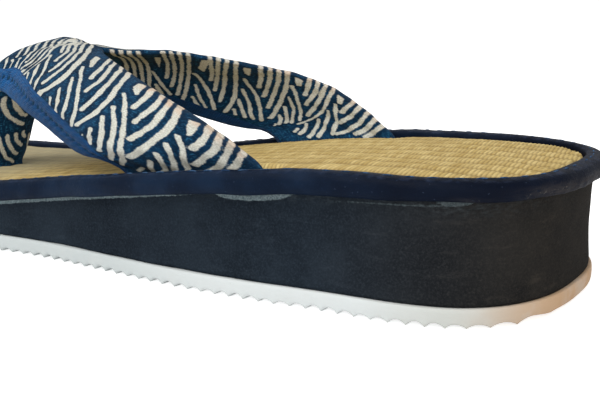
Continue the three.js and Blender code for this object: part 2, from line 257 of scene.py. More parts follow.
# ---------------------------------------------------------------- materials
class Mat:
    """A small node builder."""

    def __init__(self, name, **sockets):
        self.m = bpy.data.materials.new(name)
        self.m.use_nodes = True
        self.nt = self.m.node_tree
        self.bsdf = next(n for n in self.nt.nodes if n.type == "BSDF_PRINCIPLED")
        for k, v in sockets.items():
            self.bsdf.inputs[k.replace("_", " ")].default_value = v

    def node(self, kind, **props):
        n = self.nt.nodes.new(kind)
        for k, v in props.items():
            setattr(n, k, v)
        return n

    def link(self, value, socket):
        if isinstance(value, bpy.types.NodeSocket):
            self.nt.links.new(value, socket)
        elif isinstance(value, (tuple, list)) and len(value) == 3 and socket.type == "RGBA":
            socket.default_value = (*value, 1)
        else:
            socket.default_value = value

    def math(self, op, a, b=None, c=None, clamp=False):
        n = self.node("ShaderNodeMath", operation=op, use_clamp=clamp)
        for i, v in enumerate((a, b, c)):
            if v is not None:
                self.link(v, n.inputs[i])
        return n.outputs[0]

    def mul(self, a, b): return self.math("MULTIPLY", a, b)
    def add(self, a, b): return self.math("ADD", a, b)
    def sub(self, a, b): return self.math("SUBTRACT", a, b)
    def madd(self, a, b, c): return self.math("MULTIPLY_ADD", a, b, c)

    def mix(self, f, a, b, blend="MIX"):
        n = self.node("ShaderNodeMix", data_type="RGBA", blend_type=blend, clamp_factor=True)
        self.link(f, n.inputs[0])
        self.link(a, n.inputs[6])
        self.link(b, n.inputs[7])
        return n.outputs[2]

    def ramp(self, v, lo, hi, a=0.0, b=1.0, smooth=True):
        n = self.node("ShaderNodeMapRange", interpolation_type="SMOOTHSTEP" if smooth else "LINEAR", clamp=True)
        self.link(v, n.inputs[0])
        for i, x in enumerate((lo, hi, a, b)):
            self.link(x, n.inputs[i + 1])
        return n.outputs[0]

    def attr(self, name):
        return self.node("ShaderNodeAttribute", attribute_name=name).outputs["Fac"]

    def uv(self):
        return self.node("ShaderNodeUVMap", uv_map="cloth").outputs[0]

    def obj(self):
        return self.node("ShaderNodeTexCoord").outputs["Object"]

    def scaled(self, vec, s):
        n = self.node("ShaderNodeVectorMath", operation="MULTIPLY")
        self.link(vec, n.inputs[0])
        n.inputs[1].default_value = s
        return n.outputs[0]

    def noise(self, vec, scale, detail=2.0, rough=0.5, out=0, distortion=0.0):
        n = self.node("ShaderNodeTexNoise")
        self.link(vec, n.inputs["Vector"])
        n.inputs["Scale"].default_value = scale
        n.inputs["Detail"].default_value = detail
        n.inputs["Roughness"].default_value = rough
        n.inputs["Distortion"].default_value = distortion
        return n.outputs[out]

    def cells(self, vec, scale, feature="F1", rand=1.0, out="Distance"):
        n = self.node("ShaderNodeTexVoronoi", feature=feature)
        self.link(vec, n.inputs["Vector"])
        n.inputs["Scale"].default_value = scale
        n.inputs["Randomness"].default_value = rand
        return n.outputs[out]

    def white(self, vec):
        n = self.node("ShaderNodeTexWhiteNoise", noise_dimensions="3D")
        self.link(vec, n.inputs["Vector"])
        return n.outputs["Value"]

    def xyz(self, vec):
        n = self.node("ShaderNodeSeparateXYZ")
        self.link(vec, n.inputs[0])
        return n.outputs[0], n.outputs[1], n.outputs[2]

    def vec(self, x, y, z=0.0):
        n = self.node("ShaderNodeCombineXYZ")
        for i, v in enumerate((x, y, z)):
            self.link(v, n.inputs[i])
        return n.outputs[0]

    def bump(self, height, distance, strength=1.0, after=None):
        n = self.node("ShaderNodeBump")
        n.inputs["Strength"].default_value = strength
        n.inputs["Distance"].default_value = distance
        self.link(height, n.inputs["Height"])
        if after is not None:
            self.link(after, n.inputs["Normal"])
        return n.outputs[0]

    def done(self, color=None, rough=None, normal=None):
        if color is not None:
            self.link(color, self.bsdf.inputs["Base Color"])
        if rough is not None:
            self.link(rough, self.bsdf.inputs["Roughness"])
        if normal is not None:
            self.link(normal, self.bsdf.inputs["Normal"])
        return self.m


def rgb(r, g, b):
    """8-bit display colour to linear."""
    out = []
    for c in (r, g, b):
        c = c / 255
        out.append(c / 12.92 if c <= 0.04045 else ((c + 0.055) / 1.055) ** 2.4)
    return tuple(out)


def weave(m, u, v, pitch):
    """Height of a plain weave, 0..1, and its two thread directions, from cloth coordinates in mm."""
    pu, pv = m.mul(u, math.pi / pitch), m.mul(v, math.pi / pitch)
    s = m.mul(m.math("SINE", pu), m.math("SINE", pv))
    warp = m.math("POWER", m.math("ABSOLUTE", m.math("SINE", pu)), 0.6)
    weft = m.math("POWER", m.math("ABSOLUTE", m.math("SINE", pv)), 0.6)
    over = m.ramp(s, -0.35, 0.35)
    return m.add(m.mul(over, warp), m.mul(m.sub(1.0, over), weft))


def cloth_material(name, inside=False):
    """Indigo cotton with a resist print of off-white arcs. 'ink' is the distance to the nearest arc, in mm."""
    m = Mat(name, Roughness=0.92, Sheen_Weight=0.03, Sheen_Roughness=0.5, Specular_IOR_Level=0.06)
    u, v, _ = m.xyz(m.scaled(m.uv(), (100.0, 100.0, 1.0)))
    cloth = m.vec(u, v)
    height = weave(m, u, v, 0.42)
    # the print's edge follows the threads
    fray = m.madd(m.sub(m.noise(cloth, 1.6, 3.0, 0.7), 0.5), 0.75, m.mul(m.sub(m.noise(cloth, 0.45, 1.0), 0.5), 0.5))
    edge = m.add(m.add(m.attr("ink"), fray), 0.14)
    ink = m.ramp(edge, -0.17, 0.17, 1.0, 0.0)
    rim = m.ramp(m.math("ABSOLUTE", m.sub(edge, 0.55)), 0.0, 0.65, 1.0, 0.0)
    # indigo: uneven dye with pale thread slubs
    slub = m.noise(m.vec(m.mul(u, 0.55), m.mul(v, 1.7)), 1.1, 3.0, 0.65)
    slub2 = m.noise(m.vec(m.mul(u, 1.8), m.mul(v, 0.6)), 1.0, 3.0, 0.65)
    pale = m.ramp(m.math("MAXIMUM", slub, slub2), 0.54, 0.68)
    cloud = m.noise(cloth, 0.13, 2.0)
    blue = m.mix(m.ramp(cloud, 0.3, 0.7), rgb(8, 38, 62), rgb(15, 56, 88))
    blue = m.mix(m.mul(pale, 0.66), blue, rgb(48, 112, 150))
    blue = m.mix(m.mul(rim, 0.45), blue, rgb(4, 20, 38))
    thread = m.noise(m.vec(m.mul(u, 1.0), m.mul(v, 1.0)), 2.3, 2.0, 0.7)
    white = m.mix(m.ramp(thread, 0.35, 0.68), rgb(182, 182, 170), rgb(222, 222, 213))
    white = m.mix(m.mul(m.ramp(m.noise(cloth, 0.22, 2.0), 0.45, 0.75), 0.3), white, rgb(198, 188, 168))
    color = m.mix(ink, blue, white)
    # wear: the fold at the back has browned a little
    wear = m.mul(m.attr("wear"), m.ramp(m.noise(cloth, 0.35, 3.0, 0.6), 0.3, 0.62))
    color = m.mix(m.mul(wear, 0.62), color, m.mix(ink, rgb(40, 52, 68), rgb(208, 168, 136)))
    # painted shade and highlight in the weave: darker at its low points, lighter at its high points
    grain = m.ramp(height, 0.1, 0.9, 0.84, 1.05)
    color = m.mix(1.0, color, m.vec(grain, grain, grain), "MULTIPLY")
    lift = m.add(m.mul(height, 0.55), m.mul(m.noise(cloth, 1.7, 3.0, 0.6), 0.6))
    n = m.bump(lift, 0.00018, 0.7)
    n = m.bump(m.noise(cloth, 0.16, 2.0), 0.0006, 0.5, n)
    return m.done(color, m.madd(ink, 0.03, 0.86), n)


def tape_material():
    m = Mat("edge_tape", Roughness=0.7, Sheen_Weight=0.06, Sheen_Roughness=0.35, Specular_IOR_Level=0.12)
    u, v, _ = m.xyz(m.scaled(m.uv(), (100.0, 100.0, 1.0)))
    cloth = m.vec(u, v)
    wale = m.math("SINE", m.mul(m.add(m.mul(v, 1.0), m.mul(m.sub(m.noise(cloth, 0.4), 0.5), 0.5)), 2 * math.pi / 0.62))
    course = m.math("SINE", m.mul(m.madd(v, 0.5, u), 2 * math.pi / 0.8))
    knit = m.madd(wale, 0.5, m.mul(course, 0.5))
    cloud = m.noise(m.vec(m.mul(u, 0.5), v), 0.6, 3.0, 0.6)
    color = m.mix(m.ramp(cloud, 0.3, 0.7), rgb(8, 52, 100), rgb(15, 84, 146))
    # painted highlight: the knit's ridges are lighter, standing in for the thread's sheen
    color = m.mix(m.ramp(knit, -0.2, 0.9, 0.0, 0.6), color, rgb(52, 128, 186))
    # painted shade in the stitch holes
    color = m.mix(m.mul(m.attr("pit"), 0.95), color, rgb(4, 14, 34))
    # painted shade: the tape is darker along the band towards the slot
    color = m.mix(m.ramp(u, 92.0, 34.0, 0.0, 0.55), color, rgb(7, 34, 64))
    # painted shade on the tape's inner face
    color = m.mix(m.mul(m.attr("inside"), 0.6), color, rgb(8, 30, 54))
    n = m.bump(knit, 0.00016, 0.75)
    return m.done(color, m.ramp(cloud, 0.2, 0.8, 0.5, 0.72), n)


def thread_material(name, color, color2, rough=0.6):
    m = Mat(name, Specular_IOR_Level=0.12)
    p = m.obj()
    x, y, z = m.xyz(m.scaled(p, (1000.0, 1000.0, 1000.0)))
    twist = m.math("SINE", m.mul(m.add(m.add(x, y), z), 2 * math.pi / 0.55))
    c = m.mix(m.ramp(m.noise(p, 900.0, 2.0), 0.35, 0.65), color, color2)
    # painted shade in the grooves of the twist
    c = m.mix(m.ramp(twist, -1.0, 0.2, 0.4, 0.0), c, tuple(0.35 * k for k in color))
    return m.done(c, rough, m.bump(twist, 0.0001, 0.6))


def binding_material():
    m = Mat("binding_tape", Specular_IOR_Level=0.05)
    p = m.obj()
    mm = m.scaled(p, (1000.0, 1000.0, 1000.0))
    x, y, z = m.xyz(mm)
    grain = m.cells(mm, 2.6, rand=1.0)
    fine = m.noise(mm, 3.2, 3.0, 0.6)
    cloud = m.noise(mm, 0.11, 3.0, 0.55)
    base = m.mix(m.ramp(cloud, 0.35, 0.7), rgb(12, 24, 41), rgb(18, 34, 55))
    base = m.mix(m.ramp(fine, 0.5, 0.85, 0.0, 0.3), base, rgb(38, 52, 84))
    # painted shade: the binding is darker towards the heel
    base = m.mix(m.ramp(y, -66.0, -106.0, 0.0, 0.78), base, rgb(7, 11, 24))
    # painted shade: the binding is darker on the far side
    base = m.mix(m.ramp(x, 5.0, 30.0, 0.0, 0.35), base, rgb(7, 11, 24))
    # rubbed lighter on the crest of the roll, dusty low on the heel
    crest = m.ramp(m.attr("crest"), 0.55, 1.0)
    rub = m.mul(crest, m.ramp(m.noise(mm, 0.55, 4.0, 0.65), 0.42, 0.7))
    base = m.mix(m.mul(rub, 0.22), base, rgb(66, 80, 112))
    streak = m.noise(m.scaled(p, (260.0, 260.0, 1400.0)), 1.0, 5.0, 0.7)
    dust = m.mul(m.attr("scuff"), m.ramp(streak, 0.36, 0.62))
    base = m.mix(m.mul(dust, 0.3), base, rgb(100, 94, 88))
    spots = m.mul(m.attr("scuff"), m.ramp(m.noise(mm, 1.1, 4.0, 0.8), 0.6, 0.72))
    base = m.mix(m.mul(spots, 0.7), base, rgb(150, 144, 136))
    fleck = m.ramp(m.noise(mm, 1.9, 1.0), 0.74, 0.8)
    base = m.mix(m.mul(fleck, 0.25), base, rgb(96, 112, 140))
    rough = m.add(m.ramp(fine, 0.2, 0.8, 0.36, 0.56), m.mul(dust, 0.35))
    n = m.bump(grain, 0.00010, 0.35)
    n = m.bump(fine, 0.00012, 0.4, n)
    n = m.bump(m.noise(mm, 0.3, 3.0), 0.0004, 0.4, n)
    return m.done(base, rough, n)


def foam_material():
    m = Mat("wedge_foam", Specular_IOR_Level=0.06)
    p = m.obj()
    mm = m.scaled(p, (1000.0, 1000.0, 1000.0))
    x, y, z = m.xyz(mm)
    cell = m.cells(mm, 1.9, rand=1.0)
    fine = m.noise(mm, 2.1, 4.0, 0.75)
    mid = m.noise(mm, 0.55, 3.0, 0.6)
    cloud = m.noise(mm, 0.075, 3.0, 0.6)
    # bluer to the front, browner at the back of the heel: the brown is a painted warm reflection on the heel
    heel_warm_reflection = m.ramp(y, -70.0, -126.0)
    dark = m.mix(heel_warm_reflection, rgb(22, 29, 37), rgb(26, 26, 26))
    light = m.mix(heel_warm_reflection, rgb(44, 54, 64), rgb(50, 47, 43))
    c = m.mix(m.ramp(cloud, 0.3, 0.72), dark, m.mix(0.42, dark, light))
    c = m.mix(m.ramp(fine, 0.42, 0.72, 0.0, 0.75), c, light)
    # painted shade in the foam's pores: darker at the cell centres
    c = m.mix(m.ramp(cell, 0.0, 0.25, 0.45, 0.0), c, rgb(8, 10, 14))
    c = m.mix(m.ramp(mid, 0.55, 0.8, 0.0, 0.35), c, light)
    rub = m.noise(m.scaled(p, (90.0, 90.0, 420.0)), 1.0, 5.0, 0.65)
    c = m.mix(m.ramp(rub, 0.56, 0.78, 0.0, 0.35), c, m.mix(heel_warm_reflection, rgb(60, 70, 80), rgb(70, 64, 57)))
    # dried adhesive squeezed out under the binding
    glue = m.add(m.attr("glue"), m.madd(m.sub(m.noise(mm, 1.0, 4.0, 0.7), 0.5), 0.9, 0.0))
    on = m.ramp(glue, -0.14, 0.14, 1.0, 0.0)
    tone = m.ramp(m.noise(mm, 2.4, 3.0, 0.8), 0.34, 0.68)
    c = m.mix(m.mul(m.mul(on, m.ramp(y, -72.0, -84.0, 1.0, 0.38)), m.ramp(m.noise(mm, 0.8, 3.0, 0.7), 0.25, 0.5, 0.55, 0.95)), c, m.mix(tone, rgb(76, 94, 100), rgb(138, 152, 156)))
    thin = m.mul(m.attr("film"), m.ramp(m.noise(m.scaled(p, (500.0, 500.0, 1500.0)), 1.0, 4.0, 0.7), 0.42, 0.66))
    c = m.mix(m.mul(thin, 0.55), c, rgb(80, 88, 92))
    n = m.bump(cell, 0.00016, 0.5)
    n = m.bump(fine, 0.00022, 0.55, n)
    n = m.bump(m.add(mid, m.mul(on, 0.8)), 0.0003, 0.5, n)
    return m.done(c, m.madd(on, -0.25, 0.9), n)


def rubber_material():
    m = Mat("white_rubber", Roughness=0.6, Specular_IOR_Level=0.25)
    p = m.obj()
    mm = m.scaled(p, (1000.0, 1000.0, 1000.0))
    x, y, z = m.xyz(mm)
    heel_warm_reflection = m.ramp(y, -106.0, -124.0)
    # painted shade: the rubber is darker towards the toe
    base = m.mix(m.ramp(y, -60.0, -15.0, 0.0, 0.85), rgb(208, 213, 213), rgb(188, 195, 195))
    # painted shade: darker towards the back of the heel
    base = m.mix(m.ramp(y, -86.0, -106.0, 0.0, 0.8), base, rgb(190, 192, 186))
    # painted warm reflection: the back of the heel is tinted peach
    base = m.mix(heel_warm_reflection, base, rgb(188, 156, 122))
    base = m.mix(m.ramp(m.noise(mm, 0.16, 3.0), 0.45, 0.75, 0.0, 0.3), base, rgb(202, 205, 203))
    dirt = m.mul(m.ramp(m.noise(mm, 0.5, 5.0, 0.75), 0.55, 0.75), m.ramp(z, 2.2, 0.2))
    base = m.mix(m.mul(dirt, 0.35), base, rgb(176, 168, 154))
    fleck = m.ramp(m.noise(mm, 1.4, 2.0), 0.70, 0.78)
    base = m.mix(m.mul(fleck, 0.2), base, rgb(170, 170, 166))
    n = m.bump(m.noise(mm, 2.2, 3.0, 0.6), 0.00012, 0.35)
    n = m.bump(m.noise(m.scaled(p, (150.0, 150.0, 900.0)), 1.0, 3.0), 0.00018, 0.3, n)
    return m.done(base, m.ramp(m.noise(mm, 0.4, 2.0), 0.3, 0.7, 0.5, 0.66), n)


def rush_material():
    """Woven rush: rows run heel to toe, and the strands cross them at a slant."""
    m = Mat("woven_rush", Roughness=0.78, Specular_IOR_Level=0.2, Sheen_Weight=0.0)
    p = m.obj()
    mm = m.scaled(p, (1000.0, 1000.0, 1000.0))
    x, y, z = m.xyz(mm)
    tone = m.attr("strand")
    groove_shade = m.attr("groove_shade")
    c = m.mix(m.ramp(tone, 0.0, 1.0, smooth=False), rgb(192, 164, 96), rgb(233, 210, 145))
    fibre = m.noise(m.scaled(p, (500.0, 2600.0, 900.0)), 1.0, 4.0, 0.7)
    c = m.mix(m.ramp(fibre, 0.3, 0.72, 0.35, 0.0), c, rgb(150, 122, 72))
    c = m.mix(m.ramp(m.noise(mm, 0.9, 3.0, 0.6), 0.58, 0.75, 0.0, 0.4), c, rgb(236, 222, 176))
    c = m.mix(m.ramp(m.noise(mm, 0.07, 3.0), 0.4, 0.72, 0.0, 0.35), c, rgb(184, 160, 104))
    # painted shade in the grooves between the strands and the rows
    c = m.mix(m.ramp(groove_shade, 0.0, 0.9, 0.0, 0.62), c, rgb(108, 84, 44))
    front = m.ramp(y, 10.0, 62.0)
    c = m.mix(m.mul(front, 0.72), c, rgb(160, 155, 132))
    n = m.bump(fibre, 0.00018, 0.6)
    return m.done(c, m.ramp(fibre, 0.2, 0.8, 0.62, 0.86), n)


# -------------------------------------------------------------- camera, light
scene = bpy.context.scene
CAM_AT = (-0.182146, -0.173341, 0.059308)
CAM_YAW, CAM_PITCH, CAM_ROLL = 0.551433, 0.199878, -0.001353
CAM_FOCAL = 882.7104      # in widths of a 600-wide image's pixel
cam_data = bpy.data.cameras.new("camera")
camera = bpy.data.objects.new("camera", cam_data)
scene.collection.objects.link(camera)
scene.camera = camera
cam_data.sensor_fit = "HORIZONTAL"
cam_data.sensor_width = 36.0
cam_data.lens = CAM_FOCAL * 36.0 / 600.0
cam_data.shift_x = (300.0 - 336.7061) / 600.0
cam_data.shift_y = (196.3258 - 200.0) / 600.0
cam_data.clip_start, cam_data.clip_end = 0.01, 60.0
cam_data.dof.use_dof = False


def camera_axes(yaw, pitch, roll):
    f = np.array([math.cos(yaw) * math.cos(pitch), math.sin(yaw) * math.cos(pitch), -math.sin(pitch)])
    r = np.cross(f, [0, 0, 1.0])
    r /= np.linalg.norm(r)
    u = np.cross(r, f)
    c, s = math.cos(roll), math.sin(roll)
    return c * r + s * u, -s * r + c * u, f


from mathutils import Matrix, Vector  # noqa: E402

cr, cu, cf = camera_axes(CAM_YAW, CAM_PITCH, CAM_ROLL)
camera.matrix_world = Matrix(((cr[0], cu[0], -cf[0], CAM_AT[0]), (cr[1], cu[1], -cf[1], CAM_AT[1]),
                              (cr[2], cu[2], -cf[2], CAM_AT[2]), (0, 0, 0, 1)))

scene.view_settings.view_transform = "Standard"
scene.view_settings.look = "None"
scene.view_settings.exposure = 0.0
scene.view_settings.gamma = 1.0

world = bpy.data.worlds.new("studio")
scene.world = world
world.use_nodes = True
wn = world.node_tree
bg = next(n for n in wn.nodes if n.type == "BACKGROUND")
bg.inputs["Color"].default_value = (1.0, 1.0, 1.0, 1)
lp = wn.nodes.new("ShaderNodeLightPath")
mr = wn.nodes.new("ShaderNodeMapRange")
wn.links.new(lp.outputs["Is Camera Ray"], mr.inputs[0])
mr.inputs[3].default_value = 0.50     # light on the object
mr.inputs[4].default_value = 1.05     # the backdrop itself
wn.links.new(mr.outputs[0], bg.inputs["Strength"])


def area(name, at, aim, size, watts, color=(1, 1, 1)):
    d = bpy.data.lights.new(name, "AREA")
    d.shape = "RECTANGLE"
    d.size, d.size_y = size
    d.energy = watts
    d.color = color
    o = bpy.data.objects.new(name, d)
    scene.collection.objects.link(o)
    o.location = at
    o.rotation_mode = "QUATERNION"
    o.rotation_quaternion = (Vector(aim) - Vector(at)).to_track_quat("-Z", "Y")
    return o


area("key", (-0.55, 0.15, 0.85), (0, 0.0, 0.02), (0.9, 0.9), 7.5, (1.0, 0.985, 0.96))
area("front_fill", (-0.7, -0.55, 0.35), (0, -0.03, 0.02), (0.8, 0.5), 2.1, (0.92, 0.96, 1.0))
area("warm_bounce", (0.05, -0.62, 0.10), (0.0, -0.1, 0.01), (0.35, 0.2), 0.40, (1.0, 0.72, 0.48))

floor_mat = Mat("pale_floor", Roughness=0.9)
fp = floor_mat.obj()
floor_mat.bsdf.inputs["Emission Color"].default_value = (1, 1, 1, 1)
floor_lp = floor_mat.node("ShaderNodeLightPath")
floor_mat.link(floor_mat.madd(floor_lp.outputs["Is Camera Ray"], 0.6, 0.1), floor_mat.bsdf.inputs["Emission Strength"])
floor_mat.done(floor_mat.mix(floor_mat.noise(fp, 3.0, 2.0), (0.86, 0.86, 0.86), (0.9, 0.9, 0.9)))
fl = bpy.data.meshes.new("floor")
fl.from_pydata([(-9, -9, 0), (9, -9, 0), (9, 9, 0), (-9, 9, 0)], [], [(0, 1, 2, 3)])
floor = bpy.data.objects.new("floor", fl)
fl.materials.append(floor_mat.m)
scene.collection.objects.link(floor)
floor.location = (0, 0, -0.0002)


# ------------------------------------------------------------------ outsole
def build_outsole():
    k = np.arange(-1, 70)
    tips = FIRST_TIP + PITCH * k
    ys = np.unique(np.concatenate([tips + PITCH * f for f in (0, 0.035, 0.10, 0.2, 0.35, 0.5, 0.65, 0.8, 0.9, 0.965)]))
    ys = ys[(ys > 0.25) & (ys < LENGTH - 0.25)]
    plan = Plan(ys, heel=40, toe=50)
    n = plan.n

    def low(y):
        worn = 0.86 + 0.14 * np.sin(y * 0.31 + 1.3)
        scallop = np.abs(np.sin(math.pi * (y - FIRST_TIP) / PITCH)) ** 0.72
        return ground(y) + TREAD * worn * scallop * step(-0.4, 4.0, y) + 0.75 * (1 - step(-0.6, 5.0, y))

    def top(y):
        return ground(y) + RUBBER

    loops = []
    prof = [(0.05, 0.0), (0.28, 0.05), (0.36, 0.16), (0.42, 0.35), (0.44, 0.55), (0.42, 0.75), (0.36, 0.9), (0.2, 0.985), (-0.2, 1.0)]
    for d, f in prof:
        x, y = plan.right(d)
        a = low(y)
        z = a + (top(y) - a) * f
        wav = 0.10 * wobble(y, z * 0 + 3.0, 22.0, 5)
        r = np.stack([x + wav, y, z], -1)
        l = np.stack([-(x + 0.10 * wobble(y, z * 0 + 3.0, 26.0, 6)), y, z], -1)[::-1]
        loops.append(np.concatenate([r, l]))
    pts = [np.concatenate(loops)]
    faces = [tube_faces(len(loops), 2 * n)]
    # underside and top: strips across, the underside with a few points so that it stays smooth
    o = (len(loops) - 1) * 2 * n
    faces.append(ladder_cap(n, 0))
    faces.append(ladder_cap(n, o))
    piece = make("outsole_rubber", np.concatenate(pts), np.concatenate(faces), rubber_material())
    outwards(piece)
    piece.data.polygons.foreach_set("use_smooth", [True] * len(piece.data.polygons))
    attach(piece, "root")
    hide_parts("outsole")
    return piece


# ------------------------------------------------------------------ midsole
# Dried adhesive under the binding on the near side: y, width of the bead below the binding.
GLUE_LINE = [(70, 0.1), (76, 0.5), (84, 0.7), (95, 0.8), (110, 0.95), (125, 1.0), (140, 1.05), (160, 0.9), (176, 1.0), (190, 0.85), (210, 0.8), (240, 0.5)]


def build_midsole():
    plan = Plan(heel=60, side=0.75, toe=60)
    n = plan.n
    fs = np.concatenate([np.linspace(0, 0.72, 22), np.linspace(0.745, 1.0, 16)])
    loops, glue, film = [], [], []
    for f in fs:
        concave = -0.2 - 0.75 * math.sin(math.pi * min(1, f * 0.92 + 0.04)) ** 0.8
        if f < 0.02:
            concave -= 0.15
        x, y = plan.right(concave)
        lo = ground(y) + RUBBER + GAP * 0.4
        hi = wedge_top(y) + heel_lift(y)
        z = lo + (hi - lo) * f
        pts = []
        for side, seed in ((1, 11), (-1, 12)):
            dx = 0.16 * wobble(y, z * 2.0, 26.0, seed) + 0.07 * wobble(y, z, 7.0, seed + 5)
            pts.append(np.stack([side * (x + dx), y, z], -1))
        loops.append(np.concatenate([pts[0], pts[1][::-1]]))
        drop = hi - z                                   # how far below the binding
        bead = table(GLUE_LINE)(y)
        # the lens-shaped smear, a flat top and a rounded lower edge
        lens = 1.75 * np.sqrt(np.clip(1 - ((y - 58.4) / 9.5) ** 2, 0, 1)) - 0.02
        low_patch = 1.1 * np.sqrt(np.clip(1 - ((y - 15.2) / 3.2) ** 2, 0, 1))
        near = drop - np.maximum(np.where(y > 70, bead, 0), lens)
        near = np.minimum(near, np.abs(drop - 1.15 - 0.008 * (y - 38)) - np.where((y > 16) & (y < 40), 0.12, -1))
        near = np.minimum(near, drop - low_patch)
        far = drop - 0.5 * np.clip(np.sin(y * 0.09) + 0.2, 0, 1)
        fm = 0.6 * np.exp(-((y - 14) / 9.0) ** 2) * step(4.5, 0.8, drop) + 0.5 * np.exp(-((y - 50) / 20.0) ** 2) * step(2.5, 0.5, drop)
        fm_far = 0.4 * np.exp(-((y - 40) / 40.0) ** 2) * step(3.0, 0.5, drop)
        glue.append(np.concatenate([far, near[::-1]]))
        film.append(np.concatenate([fm_far, fm[::-1]]))
    faces = [tube_faces(len(loops), 2 * n), ladder_cap(n, 0), ladder_cap(n, (len(loops) - 1) * 2 * n)]
    piece = make("midsole_foam", np.concatenate(loops), np.concatenate(faces), foam_material(),
                 {"glue": np.concatenate(glue), "film": np.concatenate(film)})
    outwards(piece)
    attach(piece, "root")
    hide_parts("midsole")
    return piece


# ------------------------------------------------------------------- insole
ROW = 6.3           # width of one row of the weave
STRAND = 1.0       # pitch of the strands along it
SLANT = 0.15        # how far a strand leans along the row, per mm across


def build_insole():
    d_edge = -(RIM_INSET + 0.25)
    ys = np.arange(5.0, LENGTH - 5.0, STRAND / 3)
    plan = Plan(ys, heel=44, toe=60)
    across = 112
    x_edge, y = plan.right(d_edge)
    n = plan.n
    # stations across: even over the middle, so the rows keep their width
    u = np.linspace(-1, 1, across)
    x = x_edge[:, None] * u[None, :]
    yy = np.repeat(y[:, None], across, 1)

    def height(x, yy, x_edge_row):
        bend = 0.25 * wobble(x * 0 + yy, yy * 0 + 1.0, 60.0, 31) + 0.16 * wobble(x, yy, 18.0, 32)
        q = (x + bend) / ROW + 0.5
        row = np.floor(q)
        fr = q - row
        lean = SLANT * (fr - 0.5) * ROW
        ph = (yy - lean) / STRAND + row * 0.5 + 0.16 * wobble(x, yy, 9.0, 33)
        k = np.floor(ph)
        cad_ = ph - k
        r = np.sin(k * 12.9898 + row * 78.233) * 43758.5453
        rnd = r - np.floor(r)
        r2 = np.sin(k * 39.425 + row * 11.135) * 24634.6345
        rnd2 = r2 - np.floor(r2)
        ridge = np.sin(math.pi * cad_) ** 0.75
        swell = np.clip(np.sin(math.pi * fr), 0, 1) ** 0.42
        h = (0.20 + 0.12 * rnd2) * ridge * swell + 0.30 * swell
        # how deep a point lies in the grooves, for the painted shade there
        groove_shade = np.clip(1 - swell, 0, 1) ** 1.1 * 0.9 + 0.9 * np.clip(1 - ridge, 0, 1) ** 1.2
        return h, np.clip(groove_shade, 0, 1), np.clip(rnd * 0.85 + 0.15 * rnd2, 0, 1)

    h, groove_shade, tone = height(x, yy, x_edge)
    # distance in from the binding, sideways and at the two ends
    inset = np.minimum(x_edge[:, None] - np.abs(x), np.minimum(yy - y.min(), y.max() - yy) * 0.9 + 0.2)
    crown = 0.35 * step(0, 12, inset)
    dip = -1.15 * (1 - step(0.0, 2.6, inset))
    soft = 0.22 * wobble(x, yy, 55.0, 41) + 0.10 * wobble(x, yy, 20.0, 42)
    z = rim_top(yy) - 1.15 + crown + dip + soft * step(0, 6, inset) + h * step(-0.2, 1.5, inset)
    # the straps press the edge of the footbed down where they enter
    slot = step(56.0, 58.6, yy) * (1 - step(100.6, 103.2, yy)) * step(24.4, 26.4, np.abs(x))
    z = z - 2.6 * slot
    # and the toe post pulls a dimple round its hole
    e = np.sqrt((x / 8.2) ** 2 + ((yy - POST_Y) / 6.6) ** 2)
    z = z - 0.5 * (1 - step(0.9, 1.35, e)) - 0.2 * (1 - step(1.2, 2.0, e))
    top = np.stack([x, yy, z], -1).reshape(-1, 3)
    low = np.stack([x_edge, y, wedge_top(y) + 0.1], -1)
    low_left = low * [-1, 1, 1]
    N = n * across
    pts = np.concatenate([top, low_left, low])
    faces = [grid_faces(n, across)]
    i = np.arange(n - 1)
    L, R = N, N + n
    faces.append(np.stack([i * across, (i + 1) * across, L + i + 1, L + i], -1))
    faces.append(np.stack([(i + 1) * across + across - 1, i * across + across - 1, R + i, R + i + 1], -1))
    faces.append(np.stack([L + i, L + i + 1, R + i + 1, R + i], -1))
    faces = [list(f) for f in np.concatenate(faces)]
    faces.append([L, R] + [across - 1 - j for j in range(across)])
    faces.append([R + n - 1, L + n - 1] + [(n - 1) * across + j for j in range(across)])
    zeros = np.zeros(2 * n)
    piece = make("insole_rush", pts, faces, rush_material(),
                 {"strand": np.concatenate([tone.ravel(), zeros]), "groove_shade": np.concatenate([groove_shade.ravel(), zeros + 1])})
    outwards(piece)
    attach(piece, "root")
    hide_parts("insole")
    return piece


# ------------------------------------------------------------- edge binding
ROLL = [  # out from the outline, share of the height
    (-3.8, 0.0), (-3.95, 0.45), (-3.8, 0.86), (-3.1, 1.0), (-1.6, 1.05), (0.2, 1.04), (1.5, 0.94), (2.2, 0.7), (2.35, 0.42), (2.1, 0.14), (1.3, -0.02), (-1.2, -0.02),
]


def closed_curve(points, per):
    """Catmull-Rom round a closed list of points."""
    p = np.asarray(points, float)
    out = []
    n = len(p)
    for i in range(n):
        a, b, c, d = p[i - 1], p[i], p[(i + 1) % n], p[(i + 2) % n]
        for t in np.arange(per) / per:
            out.append(0.5 * (2 * b + (c - a) * t + (2 * a - 5 * b + 4 * c - d) * t * t + (3 * b - a - 3 * c + d) * t ** 3))
    return np.array(out)


def binding_point(plan, d, f, side, lift=0.0):
    """A point on the binding's section (d, f) at each station of one side."""
    _, yb = plan.right(0.0)
    push = pushed(yb) * (2.2 if d < 0 else 0.9)
    # where d changes sign the push is eased across
    t = float(step(-0.8, 0.8, d))
    push = pushed(yb) * (2.2 * (1 - t) + 0.9 * t)
    x, y = plan.right(d + push + lift)
    lo = wedge_top(y) + 0.12 + heel_lift(y)
    hi = rim_top(y)
    return x, y, lo + (hi - lo) * f


